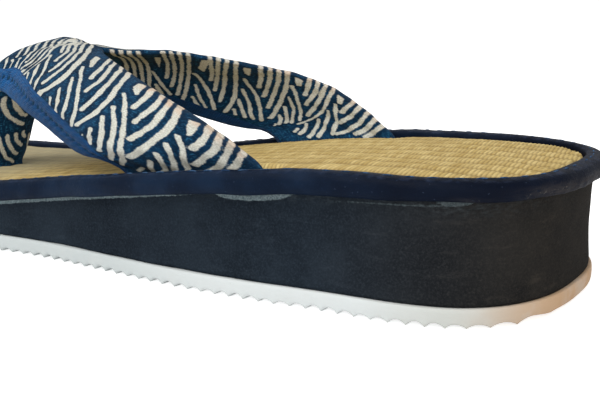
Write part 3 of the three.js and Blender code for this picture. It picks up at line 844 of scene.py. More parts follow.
def build_binding():
    plan = Plan(heel=90, side=0.72, toe=80)
    n = plan.n
    sec = closed_curve(ROLL, 4)
    loops, crest, scuff = [], [], []
    for d, f in sec:
        side_pts, side_scuff = [], []
        for side, seed in ((1, 51), (-1, 52)):
            x, y, z = binding_point(plan, d, f, side)
            _, y0 = plan.right(0.0)
            arc = np.concatenate([[0], np.cumsum(np.hypot(np.diff(x), np.diff(y)))])
            out = 1.0 if d > -2.5 else 0.3
            # soft pulls in the tape, close at the heel's curve, and a slightly wavy lower edge
            ripple = 0.10 * wobble(arc, f * 9.0 + 0 * arc, 7.5, seed) + 0.12 * wobble(arc, f * 3.0 + 0 * arc, 24.0, seed + 1)
            tuck = 0.035 * np.sin(arc * 2 * math.pi / 4.7 + seed) * math.exp(-((f - 0.95) / 0.25) ** 2) * (1.0 if d < 0.6 else 0.3)
            curve = 0.16 * (1 - step(20, 40, y)) * wobble(arc, f * 1.2 + 0 * arc, 4.0, seed + 2) * math.exp(-((f - 0.2) / 0.4) ** 2)
            low = 0.12 * wobble(arc, 0 * arc, 13.0, seed + 3) * (1.0 if f < 0.25 and d > 0 else 0.0)
            dd = (ripple + curve) * out
            x2, y2, z2 = binding_point(plan, d, f, side, dd)
            z2 = z2 + tuck * 0.5 + low + 0.06 * wobble(arc, d * 2.0 + 0 * arc, 15.0, seed + 4)
            side_pts.append(np.stack([side * x2, y2, z2], -1))
            if side < 0:
                sc = (0.85 * np.exp(-((y + 1.0) / 4.2) ** 2) * math.exp(-((f - 0.30) / 0.30) ** 2) * (1 if d > 0 else 0)
                      + 0.3 * np.exp(-((y - 12.0) / 3.0) ** 2) * math.exp(-((f - 0.05) / 0.2) ** 2) * (1 if d > 0 else 0))
            else:
                sc = 0.6 * np.exp(-((y + 1.0) / 3.6) ** 2) * math.exp(-((f - 0.3) / 0.3) ** 2) * (1 if d > 0 else 0)
            side_scuff.append(sc)
        loops.append(np.concatenate([side_pts[0], side_pts[1][::-1]]))
        scuff.append(np.concatenate([side_scuff[0], side_scuff[1][::-1]]))
        crest.append(np.full(2 * n, math.exp(-((f - 1.02) / 0.16) ** 2) * (1 if -3.6 < d < 1.9 else 0.2)))
    faces = tube_faces(len(loops), 2 * n, close_rows=True)
    piece = make("binding_roll", np.concatenate(loops), faces, binding_material(),
                 {"crest": np.concatenate(crest), "scuff": np.clip(np.concatenate(scuff), 0, 1)})
    outwards(piece)
    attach(piece, "root")
    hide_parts("edge_binding")
    return piece


def capsules(name, starts, ends, normals, radius, flat, material, slack=0.0):
    """Small sewn stitches: a rounded thread from start to end that dives at both ends."""
    rings, seg = 7, 8
    ts = np.linspace(0, 1, rings)
    ang = np.arange(seg) / seg * 2 * math.pi
    P, F = [], []
    for q, (a, b, nn, r) in enumerate(zip(starts, ends, normals, radius)):
        a, b, nn = map(np.asarray, (a, b, nn))
        ax = b - a
        L = np.linalg.norm(ax)
        ax = ax / L
        side = np.cross(ax, nn)
        side /= np.linalg.norm(side) + 1e-9
        up = np.cross(side, ax)
        base = len(P) * 0
        pts = []
        for t in ts:
            dive = (2 * t - 1) ** 4
            w = r * (1 - 0.45 * abs(2 * t - 1) ** 3)
            c = a + ax * L * t + up * (slack * (1 - (2 * t - 1) ** 2) - r * 1.1 * dive)
            for g in ang:
                pts.append(c + side * math.cos(g) * w + up * math.sin(g) * w * flat)
        o = q * rings * seg
        P.extend(pts)
        for k in range(rings - 1):
            for i in range(seg):
                j = (i + 1) % seg
                F.append([o + k * seg + i, o + k * seg + j, o + (k + 1) * seg + j, o + (k + 1) * seg + i])
        F.append([o + i for i in range(seg)][::-1])
        F.append([o + (rings - 1) * seg + i for i in range(seg)])
    piece = make(name, np.array(P), F, material)
    outwards(piece)
    return piece


def build_binding_stitches():
    plan = Plan(heel=90, side=0.5, toe=90)
    r = np.random.RandomState(7)
    starts, ends, normals, rad = [], [], [], []
    for side in (1, -1):
        x, y, z = binding_point(plan, -0.7, 1.035, side)
        pts = np.stack([side * x, y, z], -1)
        arc = np.concatenate([[0], np.cumsum(np.linalg.norm(np.diff(pts, axis=0), axis=1))])
        at = 2.0
        while at < arc[-1] - 3:
            length = 2.6 + r.uniform(-0.4, 0.4)
            a = [np.interp(at, arc, pts[:, c]) for c in range(3)]
            b = [np.interp(at + length, arc, pts[:, c]) for c in range(3)]
            a[2] += 0.03
            b[2] += 0.03
            starts.append(a)
            ends.append(b)
            normals.append((0, 0, 1))
            rad.append(0.19 + r.uniform(-0.03, 0.03))
            at += 4.5 + r.uniform(-0.35, 0.35)
    m = thread_material("rim_thread", rgb(30, 56, 90), rgb(70, 104, 142))
    piece = capsules("binding_stitches", starts, ends, normals, rad, 0.8, m, 0.06)
    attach(piece, "root")
    return piece


# -------------------------------------------------------------- strap bands
KEYS = [(i, *r) for i, r in enumerate(BAND)]
COL = [table(KEYS, c + 1) for c in range(8)]
T_END = len(BAND) - 1


def band_mid(t):
    return np.stack([(COL[0](t) + COL[3](t)) / 2, (COL[1](t) + COL[4](t)) / 2, (COL[2](t) + COL[5](t)) / 2], -1)


class Band:
    """The left-hand band as a surface: t along it, v from the folded rear edge to the taped front edge."""

    def __init__(self, spacing=0.42, t0=0.0, t1=T_END):
        ft = np.linspace(t0, t1, 4000)
        mid = band_mid(ft)
        arc = np.concatenate([[0], np.cumsum(np.linalg.norm(np.diff(mid, axis=0), axis=1))])
        n = int(arc[-1] / spacing) + 1
        self.t = np.interp(np.linspace(0, arc[-1], n), arc, ft)
        t = self.t
        s1 = np.interp(1.0, ft, arc)
        self.s = np.interp(t, ft, arc) - s1           # arc length from t = 1
        self.R = np.stack([COL[0](t), COL[1](t), COL[2](t)], -1)
        Fp = np.stack([COL[3](t), COL[4](t), COL[5](t)], -1)
        path = band_mid(np.minimum(T_END, t + 0.3)) - band_mid(np.maximum(0, t - 0.3))
        ch = Fp - self.R
        N = np.cross(path, ch)
        N /= np.linalg.norm(N, axis=1)[:, None]
        m = band_mid(t)
        out = m - np.stack([0 * t, m[:, 1], 0 * t + 14], -1)
        N *= np.where((N * out).sum(1) < 0, -1, 1)[:, None]
        self.N = N
        self.W = np.linalg.norm(ch, axis=1)
        self.A = ch / self.W[:, None]
        self.crown = COL[6](t)
        self.wall = COL[7](t)
        # the tape runs out to nothing where the band goes down into the slot
        self.narrow = np.minimum(1.0, self.W / 30.0) * table(TAPE_RUN)(self.s)

    def centre(self, v):
        """Distance along the chord and height off it, and the section's own normal there. v is (n, k)."""
        def c(q):
            q = np.clip(q, 0, 1)
            return 0.9 + q * (self.W[:, None] - 1.9), self.crown[:, None] * np.sin(math.pi * q ** 1.15)
        s, h = c(v)
        s1, h1 = c(np.minimum(1, v + 0.02))
        s0, h0 = c(np.maximum(0, v - 0.02))
        L = np.hypot(s1 - s0, h1 - h0)
        return s, h, -(h1 - h0) / L, (s1 - s0) / L

    def half(self, v):
        e = np.minimum(1, 4 * np.minimum(v, 1 - v))
        e = e * e * (3 - 2 * e)
        return (1.45 + (self.wall[:, None] - 1.45) * e) / 2

    def place(self, a, b):
        p = self.R[:, None, :] + self.A[:, None, :] * a[..., None] + self.N[:, None, :] * b[..., None]
        return p

    def relief(self, v, face):
        """Small soft shapes in the padded cloth, off the surface, in mm."""
        s = self.s[:, None] + 0 * v
        across = v * self.W[:, None]
        seed = 61 if face > 0 else 71
        r = 0.26 * wobble(s, across, 30.0, seed) + 0.13 * wobble(s, across, 11.0, seed + 1)
        tape = self.W[:, None] - (TAPE if face > 0 else TAPE_IN) * self.narrow[:, None]
        near_tape = across - tape
        # the seam draws the cloth in, with small tucks between stitches
        r = r - 0.36 * np.exp(-(near_tape / 1.5) ** 2) * self.narrow[:, None]
        r = r + 0.13 * np.sin(2 * math.pi * (s / TAPE_STITCH) + 1.1 * wobble(s, 0 * s, 30, seed + 2)) * np.exp(-((near_tape + 2.2) / 2.6) ** 2)
        # the folded rear edge is a little fuller, with faint puckers
        r = r + 0.22 * np.exp(-((across - 2.6) / 2.2) ** 2)
        r = r + 0.10 * np.sin(2 * math.pi * s / 6.3 + 2.0 * wobble(s, 0 * s, 40, seed + 3)) * np.exp(-((across - 1.0) / 2.6) ** 2)
        # pulls fan out from the slot, where the cloth is gathered down
        pull = 1 - step(4.0, 26.0, s)
        r = r + 0.20 * pull * np.sin(across * 2 * math.pi / 6.8 + 0.05 * s + face)
        # and from the junction over the toe post
        knot = step(92.0, 118.0, s)
        r = r + 0.22 * knot * np.sin(across * 2 * math.pi / 5.6 + 0.06 * s + 0.8 * face)
        return r


def seam_clamp(p):
    """The two bands meet on the middle line: keep each on its own side, softly."""
    k, lim = 0.22, 0.03
    p[..., 0] = lim - k * np.logaddexp(0, (lim - p[..., 0]) / k)
    return p


# The print, charted: each arc of the resist pattern as
# (half width at its start, at its end, [(mm along the band, fortieths of the width), ...]).
# Outer faces.
OUTER = [
    (0.86, 0.92, [(14.4, 0), (12.7, 2.6), (11.0, 5.7), (9.6, 9.3)]),
    (0.84, 0.86, [(11.5, 0), (9.6, 2.6), (7.9, 5.7), (6.5, 9.4), (5.4, 11.8), (4.4, 14.2)]),
    (0.82, 0.80, [(8.7, 0), (6.7, 3.1), (4.6, 6.6), (2.9, 9.6), (1.9, 13.2)]),
    (0.80, 0.80, [(5.8, 0), (3.7, 3.5), (1.9, 7.0)]),
    (0.72, 0.80, [(14.2, 8.8), (10.8, 11.0), (7.5, 14.0), (5.0, 16.4), (2.1, 18.9)]),
    (0.74, 0.84, [(12.5, 13.6), (9.2, 16.0), (5.4, 19.3), (2.1, 22.8)]),
    (0.74, 0.84, [(9.8, 19.3), (6.7, 21.5), (3.7, 24.3), (1.9, 26.3)]),
    (0.74, 0.84, [(7.7, 24.3), (5.0, 27.2), (2.1, 30.0)]),
    (0.62, 0.80, [(4.6, 30.7), (2.7, 34.6)]),

    (0.88, 0.92, [(33.7, 0), (31.2, 3.3), (29.2, 6.6), (27.4, 9.7)]),
    (0.86, 0.84, [(29.6, 0), (27.1, 3.3), (25.0, 6.6), (23.5, 9.9), (22.7, 12.3), (21.8, 14.0)]),
    (0.86, 0.90, [(26.5, 0), (24.0, 3.5), (21.5, 7.0), (19.6, 10.5), (18.1, 14.5), (17.3, 17.5), (16.4, 20.4)]),
    (0.86, 1.06, [(23.1, 0), (20.4, 3.5), (17.9, 7.0), (15.8, 11.4), (14.2, 15.8), (12.5, 20.2), (11.0, 24.6), (10.1, 28.2)]),
    (0.64, 0.92, [(34.9, 7.6), (30.8, 9.9), (27.1, 12.7), (23.3, 16.0), (19.2, 20.2), (15.8, 24.1), (12.1, 28.5), (8.7, 32.9), (6.2, 37.3)]),
    (0.70, 0.98, [(30.3, 13.9), (27.1, 16.2), (23.3, 19.3), (20.0, 22.8), (16.7, 26.8), (13.3, 31.1), (10.0, 36.4)]),
    (0.76, 0.96, [(27.8, 19.6), (25.0, 22.1), (21.7, 25.4), (18.3, 29.4), (15.8, 33.1)]),
    (0.80, 0.92, [(25.1, 26.5), (22.9, 29.4), (20.2, 32.4)]),
    (0.38, 0.30, [(24.9, 31.1), (24.6, 31.6)]),

    (0.74, 0.84, [(62.4, 0), (59.4, 2.2), (55.8, 4.8), (52.3, 7.5), (50.0, 9.7), (47.4, 12.0)]),
    (0.78, 0.84, [(58.3, 0), (55.0, 2.4), (50.8, 5.3), (47.1, 8.3), (44.2, 11.0), (42.1, 14.0), (40.7, 16.7)]),
    (0.80, 0.84, [(53.1, 0), (50.0, 2.2), (46.2, 5.3), (42.2, 8.6), (38.9, 12.2), (36.6, 16.2), (35.0, 20.0), (34.1, 22.9)]),
    (0.84, 1.00, [(47.9, 0), (44.6, 2.6), (40.8, 5.7), (37.2, 9.0), (34.4, 12.3), (32.2, 16.2), (30.6, 19.8), (29.9, 23.0), (29.6, 26.3), (29.5, 29.2)]),
    (0.62, 0.84, [(57.2, 10.6), (53.3, 12.7), (49.2, 14.5), (45.0, 17.1), (40.8, 19.7), (37.1, 22.8), (35.0, 24.9), (32.9, 28.1), (31.0, 31.2)]),
    (0.62, 0.86, [(50.7, 16.8), (47.5, 18.9), (43.7, 21.5), (40.8, 24.1), (38.3, 27.2), (35.9, 31.5)]),
    (0.66, 0.94, [(47.4, 23.2), (44.6, 25.9), (42.1, 28.5), (39.9, 31.7)]),
    (0.70, 0.86, [(46.4, 28.9), (45.2, 30.7), (44.1, 32.4)]),

    (0.62, 0.62, [(88.8, 5.7), (86.8, 8.8), (83.4, 11.3), (79.7, 12.7), (75.9, 13.6)]),
    (0.66, 0.74, [(92.0, 0), (90.0, 3.1), (87.6, 6.5), (84.2, 9.2), (80.0, 10.6), (75.8, 11.6), (71.7, 13.8), (68.7, 16.0), (66.7, 17.3)]),
    (0.62, 0.80, [(90.6, 0), (87.6, 4.6), (84.7, 7.2), (79.9, 8.5), (75.0, 9.4), (70.0, 11.6), (66.2, 14.0), (63.3, 16.7), (61.2, 19.3), (60.3, 21.3)]),
    (0.62, 0.86, [(89.2, 0), (87.2, 2.9), (84.2, 5.1), (79.9, 6.4), (75.0, 7.2), (70.0, 9.2), (65.0, 11.6), (61.7, 14.5), (58.3, 18.0), (56.2, 21.5), (55.4, 24.8), (55.7, 26.5)]),
    (0.64, 1.38, [(87.6, 0), (86.2, 0.9), (83.4, 2.6), (79.9, 3.8), (75.0, 4.6), (70.0, 6.1), (65.0, 8.3), (60.8, 11.0), (56.7, 14.5), (53.3, 18.0), (51.4, 21.9), (51.1, 26.0), (51.9, 29.2), (53.0, 31.6)]),
    (0.60, 0.86, [(75.0, 17.4), (70.6, 19.2), (66.0, 21.0), (62.7, 23.2), (60.2, 26.3), (58.3, 29.8), (57.1, 32.4)]),
    (0.84, 1.00, [(69.3, 23.3), (66.7, 25.2), (64.2, 28.0), (62.1, 32.4)]),
    (0.86, 0.98, [(69.3, 28.8), (67.9, 30.7), (66.9, 32.7)]),

    (0.52, 0.72, [(93.8, 0), (91.7, 3.9), (89.2, 7.9), (84.7, 12.7), (79.9, 16.4), (75.9, 18.4), (73.0, 21.5), (71.8, 25.4), (72.1, 28.5), (73.8, 31.4), (75.4, 32.8)]),
    (0.50, 0.62, [(95.5, 0), (93.0, 4.6), (89.7, 9.2), (85.7, 13.5), (81.3, 17.2), (77.9, 19.4), (75.3, 22.2), (74.3, 25.4), (74.8, 28.2), (77.1, 30.8), (79.0, 32.6)]),
    (0.48, 0.58, [(97.6, 0), (94.6, 5.3), (90.9, 10.2), (86.9, 14.5), (82.6, 18.5), (79.3, 21.0), (77.3, 23.4), (76.6, 25.6), (77.1, 27.9), (79.0, 29.8)]),
    (0.48, 0.56, [(99.3, 1.2), (95.6, 7.2), (91.3, 12.4), (86.3, 17.6), (82.2, 21.2), (79.7, 23.6), (78.9, 25.6), (79.3, 27.0)]),
    (0.66, 0.80, [(87.6, 20.2), (84.4, 23.0), (81.9, 25.4), (80.9, 28.2), (81.3, 32.6)]),
    (0.66, 0.80, [(86.6, 25.6), (84.4, 28.0), (83.6, 30.4), (84.0, 32.6)]),
    (0.48, 0.56, [(101.5, 0), (97.6, 7.5), (93.2, 13.5), (88.4, 18.4), (85.2, 21.6), (83.6, 24.6)]),
    (0.48, 0.60, [(103.6, 0), (99.8, 8.0), (95.4, 14.2), (90.8, 19.4), (88.0, 22.8)]),
    (0.48, 0.60, [(105.8, 0), (102.2, 8.4), (97.8, 14.8), (93.2, 20.2), (90.4, 24.0)]),
    (0.60, 0.78, [(90.4, 26.0), (88.2, 28.4), (87.3, 32.6)]),
    (0.60, 0.78, [(95.2, 24.4), (92.2, 28.2), (91.2, 32.6)]),
    (0.60, 0.78, [(99.6, 22.4), (96.4, 27.2), (95.2, 32.6)]),
    (0.60, 0.78, [(103.4, 20.4), (100.6, 25.6), (99.2, 32.6)]),
]
OUTER_DROPS = [
    [(18.2, 1.6), (16.6, 0.5), (13.6, 5.6), (13.8, 6.3), (16.2, 4.2)],
    [(39.5, 0.8), (37.1, 0.0), (33.0, 4.6), (33.2, 5.2), (37.8, 3.1)],
    [(66.5, 3.5), (64.5, 2.7), (56.4, 7.9), (56.2, 8.7), (62.5, 6.2)],
    [(93.6, 0.6), (91.8, 0.8), (89.6, 4.4), (90.3, 5.0), (92.9, 3.2)],
]
# Inner faces, in the same terms.
INNER = [
    (0.72, 0.76, [(3.4, 0), (1.7, 4.2), (0.2, 8.4)]),
    (0.74, 0.80, [(13.3, 0), (12.1, 3.5), (10.7, 6.5)]),
    (0.72, 0.76, [(11.0, 0), (9.2, 3.9), (7.9, 7.5), (6.6, 12.0)]),
    (0.72, 0.76, [(8.3, 0), (5.8, 4.8), (3.8, 10.1), (2.5, 14.5), (2.1, 17.5)]),
    (0.72, 0.76, [(5.8, 0), (3.8, 3.9), (2.1, 8.3), (1.5, 11.0)]),
    (0.58, 0.74, [(14.6, 4.7), (11.3, 8.3), (7.9, 11.8), (5.0, 15.4), (2.1, 18.9)]),
    (0.58, 0.76, [(12.7, 9.7), (10.0, 13.2), (7.1, 17.1), (4.2, 21.0), (1.3, 24.6)]),
    (0.62, 0.76, [(9.8, 17.2), (7.5, 20.2), (5.0, 23.2), (1.3, 28.1)]),
    (0.64, 0.76, [(8.7, 23.4), (5.8, 26.8), (3.3, 30.3)]),
    (0.64, 0.70, [(6.7, 28.6), (4.9, 31.1)]),

    (0.72, 0.76, [(26.7, 0), (24.2, 3.9), (21.8, 8.1)]),
    (0.72, 0.76, [(24.2, 0), (21.7, 3.9), (19.6, 8.3), (18.5, 11.4), (17.6, 13.0)]),
    (0.70, 0.76, [(21.9, 0), (19.2, 4.8), (16.7, 9.6), (14.6, 14.5), (12.6, 19.1)]),
    (0.70, 0.48, [(19.6, 0), (17.0, 4.8), (14.2, 9.6), (12.1, 14.5), (10.7, 18.9), (9.9, 22.8), (9.2, 26.8)]),
    (0.60, 0.62, [(27.6, 6.0), (24.2, 9.2), (20.8, 12.7), (17.1, 16.7), (13.8, 20.6), (11.0, 24.0)]),
    (0.58, 0.62, [(23.3, 13.3), (20.4, 16.2), (17.1, 19.7), (13.3, 24.6), (10.6, 28.0)]),
    (0.60, 0.66, [(19.5, 20.4), (17.1, 22.8), (14.2, 25.9), (11.3, 29.4)]),
    (0.60, 0.64, [(16.8, 26.1), (14.2, 28.5), (11.3, 32.0)]),
    (0.48, 0.48, [(12.3, 32.3), (11.1, 33.9)]),

    (0.70, 0.76, [(40.4, 0), (37.1, 5.3), (34.2, 10.5), (32.2, 14.3)]),
    (0.70, 0.76, [(37.9, 0), (34.6, 5.3), (31.7, 10.5), (29.2, 15.4), (27.4, 19.1)]),
    (0.70, 0.76, [(35.5, 0), (32.1, 5.3), (29.2, 10.5), (26.7, 15.4), (24.2, 20.2), (21.8, 24.8)]),
    (0.70, 0.84, [(33.1, 0), (29.9, 4.8), (26.7, 10.1), (24.2, 14.9), (22.1, 18.9), (20.0, 23.2), (17.9, 27.2), (16.8, 29.6)]),
    (0.64, 0.66, [(38.9, 10.4), (35.8, 14.2), (32.1, 17.5), (28.3, 21.0), (25.0, 24.6), (21.7, 28.1), (18.8, 31.1), (16.8, 33.2)]),
    (0.60, 0.66, [(34.3, 19.2), (31.7, 21.9), (28.3, 25.0), (25.4, 28.0), (22.5, 31.1), (19.2, 33.7)]),
    (0.60, 0.66, [(30.7, 26.1), (28.3, 28.5), (25.4, 31.1), (21.9, 34.1)]),
    (0.64, 0.60, [(27.6, 32.0), (26.2, 33.3), (24.8, 34.5)]),

    (0.66, 0.72, [(53.7, 0), (50.2, 6.6), (46.8, 13.4), (43.9, 19.9)]),
    (0.66, 0.72, [(51.6, 0), (47.8, 7.9), (44.0, 15.8), (41.0, 22.0), (38.9, 26.0)]),
    (0.66, 0.74, [(49.4, 0), (44.8, 9.7), (40.2, 18.7), (36.4, 25.8), (33.7, 30.4)]),
    (0.66, 0.82, [(47.0, 0), (42.9, 7.5), (39.2, 14.5), (35.4, 21.0), (32.1, 26.3), (29.6, 31.6), (28.2, 34.9)]),
    (0.72, 0.66, [(50.3, 17.3), (46.7, 20.8), (43.3, 24.6), (39.6, 28.0), (36.2, 31.1), (33.3, 33.8), (31.5, 35.5)]),
    (0.60, 0.62, [(45.3, 26.1), (42.5, 29.4), (39.2, 32.5), (35.8, 35.0), (34.0, 36.2)]),
    (0.60, 0.60, [(41.6, 33.0), (39.2, 35.0), (36.0, 37.2)]),

    (0.62, 0.68, [(65.6, 0), (62.6, 6.6), (59.2, 14.9), (54.8, 26.1)]),
    (0.62, 0.70, [(63.5, 0), (60.5, 7.0), (57.1, 14.9), (54.2, 21.9), (50.6, 30.4)]),
    (0.62, 0.72, [(61.4, 0), (58.4, 6.6), (55.1, 14.5), (52.1, 21.9), (49.2, 28.0), (46.0, 34.3)]),
    (0.62, 0.76, [(59.2, 0), (56.4, 6.6), (53.1, 14.5), (50.2, 21.0), (47.3, 27.2), (45.0, 31.6), (42.3, 36.9)]),
    (0.60, 0.66, [(60.4, 23.9), (57.5, 27.2), (54.2, 30.3), (50.8, 33.0), (47.6, 35.4)]),
    (0.58, 0.60, [(55.6, 31.4), (53.0, 33.6), (50.6, 35.6)]),
]
INNER_DROPS = [
    [(17.6, 0.2), (15.8, 0.2), (14.2, 2.9), (14.8, 3.2)],
    [(30.4, 0.6), (27.9, 1.0), (26.1, 4.2), (26.8, 4.6)],
    [(44.3, 0.8), (42.6, 0.9), (39.7, 6.6), (41.3, 5.6)],
    [(55.2, 1.0), (53.6, 0.8), (49.6, 12.8), (52.3, 9.6)],
    [(66.2, 4.2), (65.0, 4.2), (60.4, 18.6), (63.1, 13.0)],
]
OUTER_STEP, OUTER_FROM = 22.9, 107.5      # past here the outer print repeats by this much
INNER_STEP, INNER_FROM = 12.7, 57.5


def smooth_line(pts, per=4):
    p = np.asarray(pts, float)
    if len(p) < 3:
        return np.stack([np.linspace(p[0, i], p[-1, i], 4) for i in range(2)], -1)
    q = np.concatenate([[2 * p[0] - p[1]], p, [2 * p[-1] - p[-2]]])
    out = []
    for i in range(1, len(q) - 2):
        a, b, c, d = q[i - 1:i + 3]
        for t in np.arange(per) / per:
            out.append(0.5 * (2 * b + (c - a) * t + (2 * a - 5 * b + 4 * c - d) * t * t + (3 * b - a - 3 * c + d) * t ** 3))
    out.append(p[-1])
    return np.array(out)


def line_distance(S, V, line, r0, r1, best, wob):
    """Lowers best to the distance from the points (S, V) to this arc's edge. line is (along, across) in mm."""
    lo, hi = line.min(0) - 3.4, line.max(0) + 3.4
    m = (S > lo[0]) & (S < hi[0]) & (V > lo[1]) & (V < hi[1])
    if not m.any():
        return
    s, v = S[m], V[m]
    d = np.full(s.shape, 9.0)
    k = len(line) - 1
    for i in range(k):
        a, b = line[i], line[i + 1]
        ab = b - a
        L2 = (ab ** 2).sum() + 1e-9
        t = np.clip(((s - a[0]) * ab[0] + (v - a[1]) * ab[1]) / L2, 0, 1)
        g = (i + t) / k
        r = r0 + (r1 - r0) * g
        r = r * (1 + 0.07 * np.sin(g * wob[0] + wob[1]) + 0.05 * np.sin(g * wob[2] + wob[3]))
        d = np.minimum(d, np.hypot(s - a[0] - t * ab[0], v - a[1] - t * ab[1]) - r)
    best[m] = np.minimum(best[m], d)


def drop_distance(S, V, poly, best):
    """Lowers best to the signed distance from a small rounded shape."""
    q = np.asarray(poly, float) * [1, 38.0 / 40]
    lo, hi = q.min(0) - 2.5, q.max(0) + 2.5
    m = (S > lo[0]) & (S < hi[0]) & (V > lo[1]) & (V < hi[1])
    if not m.any():
        return
    s, v = S[m], V[m]
    d = np.full(s.shape, 9.0)
    odd = np.zeros(s.shape, bool)
    for i in range(len(q)):
        a, b = q[i], q[(i + 1) % len(q)]
        ab = b - a
        t = np.clip(((s - a[0]) * ab[0] + (v - a[1]) * ab[1]) / ((ab ** 2).sum() + 1e-9), 0, 1)
        d = np.minimum(d, np.hypot(s - a[0] - t * ab[0], v - a[1] - t * ab[1]))
        if a[1] != b[1]:
            odd ^= ((a[1] > v) != (b[1] > v)) & (s < (v - a[1]) * ab[0] / (b[1] - a[1]) + a[0])
    best[m] = np.minimum(best[m], np.where(odd, -d, d) - 0.32)


def past_fold(pts):
    """An arc that starts on the fold runs on round it."""
    p = np.array(pts, float)
    if p[0, 1] == 0:
        e = p[0] - p[1]
        p = np.concatenate([[p[0] + e * 3.4 / max(0.5, -e[1])], p])
    return p


def print_outer(s_flat, v40, width):
    """Distance in mm to the nearest arc on an outer face."""
    S, V = s_flat, v40 * 38.0 / 40
    best = np.full(S.shape, 6.0)
    r = np.random.RandomState(21)
    for r0, r1, arc in OUTER:
        p = past_fold(arc) * [1, 38.0 / 40]
        L = np.hypot(*(p[-1] - p[0]))
        line_distance(S, V, smooth_line(p), r0, r1, best, (L * 0.55, r.uniform(0, 6), L * 1.3, r.uniform(0, 6)))
    for poly in OUTER_DROPS:
        drop_distance(S, V, poly, best)
    # the repeat, where the band narrows into the junction: the cloth keeps its scale there
    far = np.full(S.shape, 6.0)
    V2 = v40 * width / 40
    for k in (2, 3, 4):
        for r0, r1, arc in OUTER[18:26]:
            p = past_fold(arc) * [1, 38.0 / 40] + [k * OUTER_STEP, 0]
            L = np.hypot(*(p[-1] - p[0]))
            line_distance(S, V2, smooth_line(p), r0, r1, far, (L * 0.55, r.uniform(0, 6), L * 1.3, r.uniform(0, 6)))
    edge = OUTER_FROM - 0.44 * v40
    return np.where(S < edge, np.maximum(best, S - edge + 0.5), np.maximum(far, edge - S + 0.5))


def print_inner(s, v40, width):
    S, V = s, v40 * 38.0 / 40
    best = np.full(S.shape, 6.0)
    r = np.random.RandomState(22)
    for r0, r1, arc in INNER:
        p = past_fold(arc) * [1, 38.0 / 40]
        L = np.hypot(*(p[-1] - p[0]))
        line_distance(S, V, smooth_line(p), r0, r1, best, (L * 0.55, r.uniform(0, 6), L * 1.3, r.uniform(0, 6)))
    for poly in INNER_DROPS:
        drop_distance(S, V, poly, best)
    for k in range(1, 8):
        for r0, r1, arc in INNER[-7:]:
            p = past_fold(arc) * [1, 38.0 / 40] + [k * INNER_STEP, 0]
            L = np.hypot(*(p[-1] - p[0]))
            line_distance(S, V, smooth_line(p), r0, r1, best, (L * 0.55, r.uniform(0, 6), L * 1.3, r.uniform(0, 6)))
    return best


